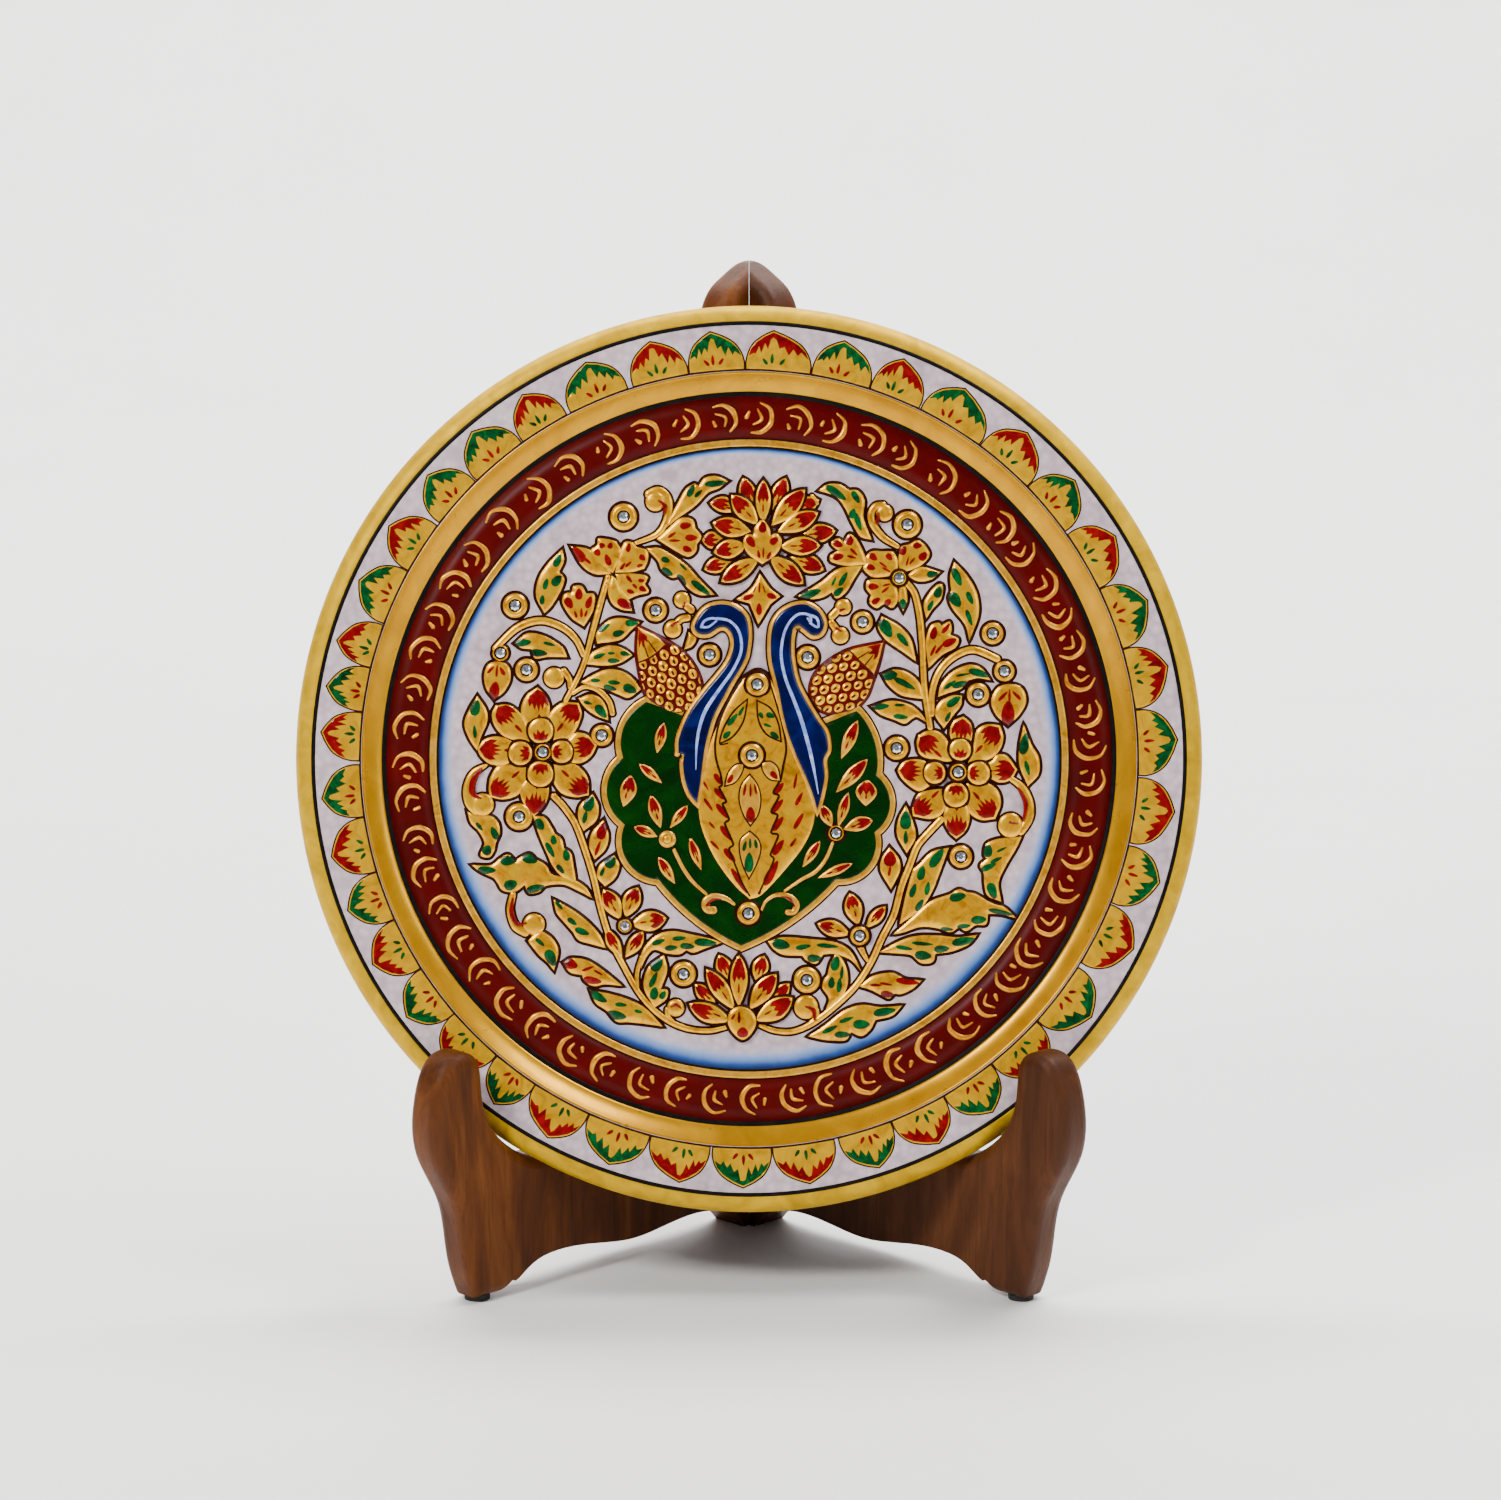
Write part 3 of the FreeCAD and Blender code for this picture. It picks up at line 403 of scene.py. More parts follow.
def motif(piece, line, fill, zones=(), height=0.8, lift=0.0, border=LINE, edge="umber", roundness=2.6,
          rise=0.32):
    """One raised motif: a domed fill in an outline of paint and painted shade, with zones of other colours on
    it.

    line is the closed edge of the fill; zones are (closed line, material) and lie on the dome. A third value
    swells the zone by that much."""
    line = turned_left(line)
    rings = [offset(line, border), line] if border else [line]
    polygons = rings + [turned_left(z[0]) for z in zones]
    base_ring = len(rings) - 1
    low = line.min(axis=0)
    high = line.max(axis=0)
    pitch = max(0.8, math.sqrt((high[0] - low[0]) * (high[1] - low[1])) / 26)
    grid = [(x + (row % 2) * pitch / 2, y)
            for row, y in enumerate(np.arange(low[1], high[1], pitch * 0.87))
            for x in np.arange(low[0], high[0], pitch)]
    extra = np.array(grid) if grid else np.zeros((0, 2))
    kept = []
    for points, clear in ((offset(line, -0.3), 0.27), (offset(line, -0.75), 0.68), (extra, 1.1)):
        if len(points):
            good = inside(points, line) & (distance_to(points, line) >= clear)
            kept.append(points[good])
    loose = np.concatenate(kept) if kept else np.zeros((0, 2))
    verts = [Vector(p) for polygon in polygons for p in polygon] + [Vector(p) for p in loose]
    faces = []
    start = 0
    for polygon in polygons:
        faces.append(list(range(start, start + len(polygon))))
        start += len(polygon)
    flat_points, _, triangles, _, _, sources = delaunay_2d_cdt(verts, [], faces, 1, 1e-5, True)
    xy = np.array([tuple(p) for p in flat_points])
    within = inside(xy, line)
    reach = distance_to(xy, line)
    deepest = float(reach[within].max()) if within.any() else 1.0
    width = min(roundness, deepest)
    puffs = np.zeros(len(xy))
    for zone in zones:
        if len(zone) > 2:
            covered = inside(xy, zone[0])
            near = np.clip(distance_to(xy, zone[0]) / 0.9, 0, 1)
            puffs = np.where(covered, zone[2] * np.sqrt(1 - (1 - near) ** 2), puffs)
    depths = []
    for (x, y), is_in, far, puff in zip(xy, within, reach, puffs):
        if is_in or far < 1e-3:
            t = min(far / max(width, 1e-6), 1.0)
            relief = rise + (height - rise) * math.sqrt(max(0.0, 1 - (1 - t) ** 2)) + puff
        else:
            relief = rise * max(0.0, 1 - far / max(border, 1e-6)) ** 0.5 + 0.03
        depths.append(ground(x, y) + lift + relief)
    points = [(x, y, d) for (x, y), d in zip(xy, depths)]
    tops = []
    paints = []
    for triangle, source in zip(triangles, sources):
        if 0 not in source:
            continue
        paint = edge if (border and base_ring not in source) else fill
        if base_ring in source:
            for k, zone in enumerate(zones):
                if len(rings) + k in source:
                    paint = zone[1]
        tops.append(tuple(triangle))
        paints.append(paint)
    walls, bottoms = skirt(points, tops)
    points += bottoms
    piece.add(points, tops + walls, paints + [edge if border else fill] * len(walls))


def skirt(points, tops):
    """Walls and a floor that close the underside of a motif."""
    used = {}
    for t in tops:
        for a, b in zip(t, t[1:] + t[:1]):
            used[(a, b)] = used.get((a, b), 0) + 1
    open_edges = [(a, b) for (a, b) in used if (b, a) not in used]
    bottoms = []
    below = {}
    for a, b in open_edges:
        for v in (a, b):
            if v not in below:
                below[v] = len(points) + len(bottoms)
                x, y, _ = points[v]
                bottoms.append((x, y, ground(x, y) - SINK))
    walls = [(b, a, below[a], below[b]) for a, b in open_edges]
    onward = dict(open_edges)
    while onward:
        first, here = onward.popitem()
        loop = [below[first]]
        while here != first and here in onward:
            loop.append(below[here])
            here = onward.pop(here)
        if len(loop) > 2:
            walls.append(tuple(reversed(loop)))
    return walls, bottoms


def spot(x, y, length, width, angle):
    """An almond dab of paint."""
    c, s = math.cos(angle), math.sin(angle)
    count = 14
    result = []
    for k in range(count):
        t = 2 * math.pi * k / count
        u = math.cos(t) * length / 2
        v = math.sin(t) * width / 2 * (1 - 0.25 * math.cos(t))
        result.append((x + u * c - v * s, y + u * s + v * c))
    return np.array(result)


def lens_sides(base, tip, left, right, count, inset=0.0):
    """Both sides of a leaf from base to tip, fuller towards the tip, and drawn in by inset."""
    a = np.array(base, float)
    b = np.array(tip, float)
    along = b - a
    length = np.linalg.norm(along)
    along /= length
    side = np.array([-along[1], along[0]])
    sides = []
    for bulge in (left - inset, -(right - inset)):
        curve = []
        for k in range(count + 1):
            t = k / count
            shape = math.sin(math.pi * t ** 1.15) ** 0.8 if 0 < t < 1 else 0.0
            curve.append(a + along * length * t + side * bulge * shape)
        sides.append(curve)
    return sides


def lens(base, tip, left, right, count=14):
    first, second = lens_sides(base, tip, left, right, count)
    return np.array(first + second[-2:0:-1])


def tip_zone(base, tip, left, right, share, rng, teeth=3):
    """The painted tip of a petal: its last share, with a streaked inner edge and a rim left unpainted."""
    first, second = lens_sides(base, tip, left, right, 16, 0.55)
    start = int(round(16 * (1 - share)))
    a = np.array(base, float)
    b = np.array(tip, float)
    pull = (b - a) / np.linalg.norm(b - a)
    rim = pull * 0.9
    up = [p for p in first[start:16]]
    down = [p for p in second[15:start - 1:-1]]
    end = [b - rim]
    inner = []
    for k in range(1, 2 * teeth):
        f = k / (2 * teeth)
        point = down[-1] * (1 - f) + up[0] * f
        depth = rng.uniform(0.7, 1.9) if k % 2 else -0.2
        inner.append(point - pull * depth)
    return np.array(up + end + down + inner)


def petal(piece, base, tip, left, right, rng, paint="red", share=0.42, strokes=2, fill="gold", height=0.9,
          lift=0.0, **more):
    """A petal with a painted tip and fine strokes near its base."""
    a = np.array(base, float)
    b = np.array(tip, float)
    along = b - a
    length = np.linalg.norm(along)
    angle = math.atan2(along[1], along[0])
    zones = [(tip_zone(base, tip, left, right, share, rng), paint)] if share else []
    side = np.array([-along[1], along[0]]) / length
    for k in range(strokes):
        sway = (k - (strokes - 1) / 2) * min(left + right, 5.0) * 0.22
        x, y = a + along * 0.36 + side * sway
        zones.append((spot(x, y, length * 0.20, 0.55, angle + sway * 0.12), paint))
    motif(piece, lens(base, tip, left, right), fill, zones, height, lift, **more)


def stroke(points, widths):
    """The closed outline of a brush stroke or stem of changing width, with round ends."""
    middle = smooth(points, closed=False)
    along = np.gradient(middle, axis=0)
    along /= np.maximum(np.linalg.norm(along, axis=1, keepdims=True), 1e-9)
    side = np.stack([-along[:, 1], along[:, 0]], axis=1)
    where = np.linspace(0, 1, len(middle))
    width = np.interp(where, np.linspace(0, 1, len(widths)), widths)[:, None] / 2
    left = middle + side * width
    right = middle - side * width
    caps = []
    for centre, direction, half in ((middle[-1], along[-1], width[-1]), (middle[0], -along[0], width[0])):
        normal = np.array([-direction[1], direction[0]])
        arc = [centre + half * (normal * math.cos(t) + direction * math.sin(t))
               for t in np.linspace(0, math.pi, 7)[1:-1]]
        caps.append(arc)
    return np.array(list(left) + caps[0] + list(right[::-1]) + caps[1])


def round_line(x, y, radius, count=28, stretch=1.0):
    return np.array([(x + radius * math.cos(2 * math.pi * k / count),
                      y + radius * stretch * math.sin(2 * math.pi * k / count)) for k in range(count)])


def lathe(piece, profile, segments, paints, closed=True):
    """Turn (radius, depth) points about the plate's axis; paints names the material of each span."""
    count = len(profile)
    points = []
    rows = []
    for r, d in profile:
        if r < 1e-6:
            rows.append([len(points)] * segments)
            points.append((0.0, 0.0, d))
            continue
        rows.append(list(range(len(points), len(points) + segments)))
        points += [(r * math.sin(2 * math.pi * k / segments), r * math.cos(2 * math.pi * k / segments), d)
                   for k in range(segments)]
    faces = []
    materials = []
    for i in range(count if closed else count - 1):
        low, high = rows[i], rows[(i + 1) % count]
        for k in range(segments):
            n = (k + 1) % segments
            corners = [low[k], high[k], high[n], low[n]]
            face = tuple(dict.fromkeys(corners))
            if len(face) > 2:
                faces.append(face)
                materials.append(paints[i])
    piece.add(points, faces, materials)


# --- the picture -------------------------------------------------------------------------------
STONES = [
    (-35.2, 67.9, 3.7), (-65.6, 43.0, 3.4), (-26.2, 41.7, 3.1), (-69.7, 29.7, 2.2), (-62.4, 25.0, 3.1),
    (-11.1, 29.2, 2.9), (44.4, 65.7, 3.7), (42.1, 50.7, 1.9), (31.8, 38.4, 2.9), (68.3, 35.2, 3.0),
    (71.6, 24.6, 2.8), (64.2, 18.1, 3.1), (16.4, 28.5, 3.1), (2.3, 20.9, 3.1), (-57.8, 1.9, 2.2),
    (-41.3, 6.6, 2.9), (-64.5, -16.2, 3.7), (-34.8, -46.8, 1.8), (-18.4, -60.3, 3.4), (0.8, 1.0, 3.2),
    (-0.2, -43.3, 3.1), (41.4, 3.0, 3.2), (58.6, -3.7, 2.3), (59.4, -27.4, 3.1), (31.0, -49.6, 2.6),
    (16.2, -62.0, 3.6), (24.4, -20.8, 2.1),
]
STONE_R = 1.45
# Petals: base, tip, fullness left and right.
LOTUS_TOP_BACK = [
    ((1.5, 69.0), (-1.6, 78.8), 2.6, 2.2), ((6.8, 69.0), (10.3, 78.8), 2.4, 2.2),
    ((-3.0, 69.6), (-11.0, 71.8), 1.6, 2.8), ((-7.0, 61.6), (-13.2, 61.4), 2.5, 2.3),
    ((-4.5, 55.4), (-12.6, 53.2), 2.0, 2.4), ((12.0, 69.2), (19.6, 72.6), 2.4, 2.0),
    ((14.0, 62.4), (24.2, 64.0), 2.6, 2.6), ((11.6, 56.6), (20.9, 53.0), 2.6, 2.4),
]
LOTUS_TOP_FRONT = [
    ((3.9, 66.0), (4.0, 78.2), 2.1, 2.1), ((2.6, 65.6), (-4.9, 73.9), 2.6, 2.6),
    ((6.3, 65.4), (15.6, 75.5), 2.7, 2.7), ((0.6, 63.6), (-10.2, 66.1), 2.7, 2.7),
    ((8.0, 63.6), (19.3, 69.0), 2.6, 2.6), ((-0.4, 60.0), (-9.9, 57.9), 2.6, 2.6),
    ((8.6, 59.6), (19.9, 59.8), 2.6, 2.6), ((3.0, 56.4), (-7.8, 49.7), 2.5, 2.5),
    ((5.6, 57.0), (15.2, 49.1), 2.6, 2.6),
]
LOTUS_TOP_CORE = [
    (3.7, 54.6, 1), (-0.2, 57.4), (-1.7, 60.6), (-0.6, 62.8), (1.3, 62.8, 1), (1.6, 64.9), (3.6, 67.0),
    (5.6, 64.9), (6.0, 62.6, 1), (7.8, 63.1), (9.2, 60.9), (7.6, 57.4),
]
LOTUS_BOTTOM_BACK = [
    ((-9.4, -69.0), (-15.1, -63.2), 2.0, 2.0), ((-5.4, -62.6), (-8.4, -55.0), 2.2, 2.2),
    ((2.0, -62.4), (4.2, -55.2), 2.2, 2.2), ((5.8, -69.0), (11.2, -63.0), 2.0, 2.0),
]
LOTUS_BOTTOM_FRONT = [
    ((-2.9, -69.4), (-2.8, -55.0), 2.4, 2.4), ((-4.0, -70.4), (-11.9, -59.0), 2.4, 2.4),
    ((-4.8, -73.4), (-16.8, -68.7), 3.0, 2.2), ((0.2, -70.2), (7.6, -60.3), 2.8, 2.5),
    ((1.6, -73.4), (12.1, -67.0), 2.6, 3.2),
]
FLOWER_LEFT = [
    [(-63.4, 11.4), (-63.9, 14.4), (-62.4, 17.8), (-59.3, 20.1, 1), (-56.8, 17.4), (-55.9, 14.4),
     (-56.4, 11.4), (-59.6, 6.4)],
    [(-56.6, 10.2), (-55.4, 13.4), (-52.2, 15.8), (-47.8, 15.7, 1), (-47.0, 12.4), (-48.6, 8.2),
     (-51.2, 5.4), (-55.6, 5.4)],
    [(-50.4, 5.8), (-48.4, 7.4), (-45.2, 6.6), (-42.7, 3.8, 1), (-44.2, 0.9), (-46.8, -1.0), (-49.8, -0.9),
     (-54.0, 2.4)],
    [(-50.2, -1.2), (-47.2, -2.6), (-45.2, -5.6), (-44.9, -10.1, 1), (-48.8, -10.7), (-52.8, -9.4),
     (-55.2, -5.8), (-56.4, -2.2)],
    [(-63.9, -7.2), (-64.1, -10.0), (-62.8, -13.2), (-60.4, -16.1, 1), (-57.6, -13.4), (-56.2, -9.8),
     (-56.6, -6.4), (-59.6, -3.4)],
    [(-69.8, -1.8), (-72.4, -4.8), (-73.0, -8.4), (-72.6, -10.7, 1), (-68.8, -11.3), (-64.9, -10.1),
     (-62.6, -6.8), (-61.4, -2.4)],
    [(-68.4, -1.6), (-72.6, -1.4), (-75.2, 0.7), (-76.2, 2.8, 1), (-74.5, 5.2), (-71.6, 6.3), (-68.0, 5.7),
     (-63.0, 2.2)],
    [(-68.4, 6.2), (-71.4, 9.4), (-72.1, 12.8), (-71.0, 15.0, 1), (-67.6, 15.2), (-64.6, 13.3),
     (-62.6, 10.6), (-61.0, 4.6)],
]
FLOWER_RIGHT = [
    [(56.4, 6.4), (56.5, 8.8), (57.6, 10.8), (60.0, 11.9, 1), (62.0, 10.2), (62.6, 7.6), (62.2, 5.0),
     (59.4, 0.6)],
    [(63.0, 4.2), (63.9, 8.0), (66.7, 9.7), (70.4, 9.3, 1), (71.3, 6.2), (70.4, 2.8), (67.8, 0.2),
     (61.6, -1.6)],
    [(68.0, -0.6), (69.6, 1.2), (72.4, 0.8), (75.2, -3.0, 1), (73.4, -5.8), (70.4, -6.6), (67.9, -5.6),
     (63.8, -3.2)],
    [(66.8, -6.8), (69.8, -9.0), (70.6, -12.6), (69.0, -16.8, 1), (65.0, -17.1), (61.8, -15.0),
     (61.2, -11.2), (61.0, -7.0)],
    [(54.8, -14.6), (54.8, -17.6), (56.2, -20.6), (58.1, -22.4, 1), (60.6, -20.2), (61.8, -17.0),
     (61.4, -13.6), (58.4, -8.2)],
    [(54.8, -8.6), (50.6, -8.8), (47.4, -10.0), (45.8, -14.0), (46.0, -16.0, 1), (50.6, -16.8),
     (53.9, -15.6), (56.0, -11.0)],
    [(49.6, -0.8), (46.6, -0.1), (43.4, -0.8), (41.6, -3.2, 1), (42.6, -5.2), (44.8, -7.4), (47.6, -9.0),
     (50.4, -7.6), (53.4, -3.8)],
    [(48.0, 1.2), (47.0, 4.4), (47.5, 6.6, 1), (50.0, 7.9), (53.2, 7.6), (55.6, 5.2), (56.2, 2.4),
     (57.0, -0.6), (51.4, -0.2)],
]
DISCS_LEFT = [(-58.4, 7.9, 3.5, 270), (-64.1, 1.6, 3.3, 0), (-52.5, 2.0, 3.1, 180), (-58.5, -4.2, 3.6, 90)]
DISCS_RIGHT = [(59.2, 2.6, 3.0, 270), (52.0, -3.9, 3.0, 0), (64.3, -4.0, 3.2, 180), (58.0, -10.1, 3.4, 90)]
# Spotted shapes: name, colour of the spots, outline (a third value marks a corner), spots as
# (x, y, length, width, degrees).
SPOTTED_LEFT = [
    ("green", [(-57.4, 40.9, 1), (-59.7, 45.6), (-59.0, 50.6), (-56.2, 55.0), (-52.4, 58.7, 1), (-51.9, 55.6),
               (-53.3, 52.4, 1), (-51.8, 50.4), (-53.0, 46.8), (-55.6, 42.6)],
     [(-53.7, 55.6, 3.4, 1.6, 65), (-53.9, 50.0, 3.2, 2.0, 50), (-57.0, 49.0, 2.8, 1.2, 75),
      (-58.0, 44.6, 2.4, 1.2, 85)]),
    ("red", [(-46.3, 37.2, 1), (-49.8, 39.6), (-52.4, 44.0), (-51.6, 46.3), (-49.7, 46.6, 1), (-49.2, 48.4),
             (-47.0, 48.5), (-45.7, 46.4, 1), (-43.4, 46.0), (-43.7, 41.8)],
     [(-50.5, 43.7, 3.0, 1.8, -60), (-47.7, 46.2, 2.8, 1.7, 90), (-44.9, 43.9, 3.2, 1.4, 70),
      (-48.6, 40.5, 1.8, 0.7, 110), (-47.0, 41.0, 2.4, 0.7, 90), (-45.7, 40.8, 1.8, 0.6, 70)]),
    ("red", [(-38.6, 51.9, 1), (-43.4, 51.9), (-47.0, 54.4), (-50.0, 59.6, 1), (-45.6, 59.0), (-41.6, 56.4)],
     [(-47.8, 57.4, 4.6, 2.2, 128), (-45.6, 55.8, 3.0, 0.7, 140)]),
    ("red", [(-38.2, 52.2, 1), (-42.4, 54.6), (-44.4, 58.2), (-42.6, 60.0), (-42.2, 61.8), (-39.4, 61.6, 1),
             (-37.2, 60.8), (-35.8, 57.6)],
     [(-42.5, 57.8, 1.8, 1.5, -50), (-41.2, 59.8, 1.6, 1.3, 0), (-38.9, 59.8, 1.6, 1.2, 70),
      (-39.6, 55.8, 3.0, 1.4, 110)]),
    ("red", [(-37.6, 52.3, 1), (-36.4, 57.6), (-34.8, 60.8), (-32.8, 60.7), (-31.4, 59.4, 1), (-28.6, 58.4),
             (-28.4, 55.6), (-29.4, 53.4, 1), (-33.0, 52.4)],
     [(-33.8, 59.2, 2.2, 1.1, 80), (-29.9, 56.4, 1.8, 1.3, -40), (-33.8, 54.6, 2.0, 0.7, 40),
      (-35.4, 54.0, 2.2, 0.7, 55), (-30.6, 54.2, 1.6, 0.8, 20)]),
    ("red", [(-37.4, 51.8, 1), (-33.0, 52.0), (-28.6, 51.2), (-29.2, 49.0, 1), (-28.2, 46.8), (-31.6, 45.8),
             (-34.0, 44.6, 1), (-36.2, 47.4)],
     [(-33.6, 50.4, 2.2, 0.8, -50), (-30.2, 50.0, 1.6, 0.9, 0), (-29.8, 47.6, 2.0, 1.2, -30),
      (-33.2, 46.9, 2.0, 1.0, -20), (-32.0, 48.4, 1.6, 0.7, -45)]),
    ("red", [(-38.4, 51.4, 1), (-39.6, 47.6), (-38.4, 43.6), (-35.8, 41.9), (-32.8, 41.5, 1), (-33.6, 44.4),
             (-35.8, 47.0), (-37.0, 50.0)],
     [(-34.9, 43.4, 4.0, 2.0, -30)]),
    ("green", [(-42.6, 32.4, 1), (-42.8, 35.2), (-39.4, 38.8), (-35.6, 39.5), (-30.7, 38.3, 1),
               (-33.0, 36.2), (-36.2, 33.4)],
     [(-40.6, 36.8, 3.4, 1.2, 35), (-36.6, 35.2, 3.0, 1.5, 15), (-32.9, 38.1, 3.2, 1.6, 0)]),
    ("green", [(-45.6, 26.6, 1), (-44.0, 29.8), (-39.4, 31.8), (-35.4, 31.0), (-32.7, 29.1, 1),
               (-36.0, 27.0), (-40.4, 26.2)],
     [(-41.9, 28.9, 3.2, 1.0, 20), (-38.6, 29.6, 1.8, 0.7, 0), (-37.9, 27.5, 3.0, 1.2, 0),
      (-34.7, 29.5, 2.6, 1.1, -10)]),
    ("green", [(-47.2, 21.4, 1), (-43.7, 23.6), (-39.7, 25.1), (-35.7, 24.6), (-32.4, 22.4),
               (-30.4, 19.5, 1), (-33.7, 17.2), (-36.4, 18.0), (-39.7, 19.4), (-43.4, 20.4)],
     [(-43.0, 22.0, 2.4, 0.9, 0), (-37.8, 21.4, 3.0, 1.1, -5), (-39.0, 19.9, 3.4, 1.3, -15),
      (-33.4, 19.6, 3.6, 2.0, -25)]),
    ("green", [(-51.0, 28.6, 1), (-52.4, 31.4), (-57.4, 34.5), (-62.2, 35.2), (-65.7, 32.4, 1),
               (-63.8, 31.1), (-61.0, 30.8, 1), (-60.0, 28.2), (-56.6, 28.6)],
     [(-63.3, 32.6, 4.0, 1.7, 5), (-58.9, 29.7, 4.2, 1.7, -5), (-56.0, 32.2, 3.0, 0.8, -15)]),
    ("green", [(-47.8, 16.9, 1), (-44.6, 18.1), (-41.5, 16.9), (-39.9, 14.0), (-39.5, 10.9, 1),
               (-43.0, 12.2), (-46.0, 14.4)],
     [(-45.2, 15.7, 2.2, 0.8, -15), (-41.5, 13.3, 4.0, 2.0, -50)]),
    ("green", [(-23.8, 64.4, 1), (-20.6, 70.6), (-17.8, 75.6), (-15.4, 77.2), (-14.1, 76.5, 1),
               (-12.4, 78.8), (-9.2, 79.3), (-5.9, 77.9, 1), (-8.4, 76.0), (-11.6, 74.6), (-15.2, 70.9),
               (-20.4, 67.2)],
     [(-16.3, 75.2, 3.4, 1.5, 65), (-9.4, 77.2, 5.4, 1.5, 5), (-14.2, 74.4, 2.6, 0.9, 45)]),
    ("red", [(-25.8, 61.6, 1), (-21.6, 65.6), (-19.0, 67.6), (-15.9, 67.1), (-15.0, 64.6, 1), (-13.4, 62.4),
             (-14.6, 60.2, 1), (-14.9, 58.2), (-17.0, 56.7), (-20.0, 58.0)],
     [(-17.8, 65.4, 2.8, 1.6, 10), (-16.2, 62.0, 3.0, 1.5, 0), (-17.3, 58.8, 2.4, 1.4, -20),
      (-21.6, 62.8, 2.4, 0.7, 35), (-20.8, 61.2, 2.8, 0.6, 0)]),
    ("green", [(-28.8, 59.0, 1), (-25.4, 59.2), (-21.6, 57.2), (-17.4, 54.2), (-13.8, 50.2),
               (-9.7, 46.1, 1), (-13.8, 46.0), (-17.0, 47.8), (-19.6, 51.0), (-21.6, 50.8), (-24.4, 52.8),
               (-25.6, 55.6)],
     [(-23.4, 55.8, 2.2, 1.4, -20), (-23.0, 52.4, 3.2, 1.6, -30), (-18.9, 50.2, 3.4, 1.4, -50),
      (-13.5, 47.9, 6.0, 1.5, -38), (-18.4, 53.8, 2.6, 0.6, -45)]),
    ("green", [(-76.3, 2.4, 1), (-78.6, 6.0), (-79.8, 10.0), (-78.4, 14.0), (-76.2, 17.6, 1), (-73.8, 14.0),
               (-73.4, 10.6), (-75.2, 6.2)],
     [(-76.7, 14.3, 4.0, 2.2, 75), (-76.9, 7.6, 3.2, 0.9, 95)]),
    ("green", [(-79.0, -14.8, 1), (-76.1, -15.7), (-72.5, -16.0), (-70.4, -17.8), (-69.9, -20.8),
               (-71.0, -23.4, 1), (-71.6, -26.0), (-73.0, -27.6), (-75.3, -26.9), (-74.2, -23.6),
               (-75.7, -20.4), (-78.0, -18.0)],
     [(-71.4, -20.8, 3.4, 1.6, 115), (-75.6, -19.0, 2.6, 0.9, -50), (-73.5, -25.6, 2.6, 2.2, 60)]),
    ("green", [(-60.6, -15.9, 1), (-57.4, -16.4), (-55.6, -18.8), (-54.4, -21.0, 1), (-52.6, -22.4),
               (-51.9, -25.0, 1), (-50.0, -26.4), (-49.2, -30.0), (-48.4, -35.4, 1), (-52.0, -33.4),
               (-54.8, -30.4), (-56.6, -26.6), (-58.9, -21.2)],
     [(-58.8, -18.4, 3.2, 2.2, -50), (-54.8, -22.7, 2.4, 1.4, 100), (-55.8, -25.5, 4.2, 1.3, -60),
      (-51.2, -26.9, 3.0, 1.6, 100), (-52.9, -30.9, 2.8, 1.2, -50)]),
    ("green", [(-44.0, -39.0, 1), (-45.9, -35.9), (-50.1, -33.5), (-55.2, -32.4), (-57.0, -29.8),
               (-59.8, -28.1), (-61.6, -26.6), (-64.4, -27.8), (-65.4, -28.9, 1), (-67.6, -26.8),
               (-70.0, -28.0), (-72.4, -29.8), (-77.8, -29.8, 1), (-75.4, -31.6), (-71.6, -33.4),
               (-70.6, -34.6, 1), (-69.0, -36.9), (-65.6, -37.2), (-62.9, -35.3, 1), (-61.8, -37.6),
               (-59.0, -37.3), (-57.0, -35.6), (-52.2, -35.2), (-48.0, -36.9)],
     [(-67.4, -28.5, 4.2, 2.2, 5), (-61.5, -28.0, 4.0, 2.2, -20), (-73.6, -31.2, 4.6, 1.8, 0),
      (-66.8, -35.3, 3.4, 2.4, 20), (-59.9, -36.3, 4.6, 1.8, 15)]),
    ("green", [(-62.0, -51.0, 1), (-58.8, -48.4), (-55.3, -50.2), (-53.5, -53.9), (-54.7, -59.3, 1),
               (-56.6, -57.0), (-58.9, -55.0)],
     [(-55.6, -55.8, 4.4, 2.4, -65), (-58.6, -51.4, 2.8, 1.0, -40)]),
    ("green", [(-40.2, -53.0, 1), (-42.1, -49.0), (-45.8, -45.1), (-50.1, -42.0), (-54.8, -39.4, 1),
               (-53.9, -43.2), (-51.7, -45.9), (-49.4, -48.5, 1), (-47.8, -50.8), (-44.7, -51.8)],
     [(-49.6, -45.6, 2.8, 1.2, -35), (-46.8, -48.4, 3.8, 1.5, -20), (-53.3, -41.0, 2.8, 0.9, -50)]),
    ("red", [(-35.6, -63.6, 1), (-41.0, -59.2), (-45.6, -56.4), (-50.0, -55.9), (-52.1, -57.1, 1),
             (-50.2, -59.8), (-46.8, -60.6, 1), (-46.2, -62.2), (-43.6, -63.7), (-40.4, -63.2)],
     [(-50.0, -57.5, 3.6, 2.4, -20), (-43.9, -62.1, 4.6, 1.7, -10), (-45.2, -58.8, 3.2, 0.7, 20),
      (-42.3, -59.9, 2.4, 0.6, -30)]),
    ("green", [(-24.2, -75.0, 1), (-29.0, -70.0), (-34.0, -67.4), (-39.4, -65.8), (-44.6, -64.9, 1),
               (-43.0, -68.4), (-39.9, -70.6, 1), (-37.2, -73.6), (-34.0, -73.8), (-29.2, -74.3)],
     [(-42.3, -66.7, 5.0, 1.9, -30), (-37.2, -71.9, 5.0, 2.1, -10), (-35.9, -68.9, 3.0, 1.0, -5),
      (-31.0, -70.8, 2.0, 0.8, -15)]),
    ("green", [(-26.6, -69.8, 1), (-29.5, -64.0), (-28.2, -58.4), (-23.9, -55.0, 1), (-23.0, -59.2),
               (-24.8, -64.6, 1), (-22.9, -64.8), (-23.2, -67.3)],
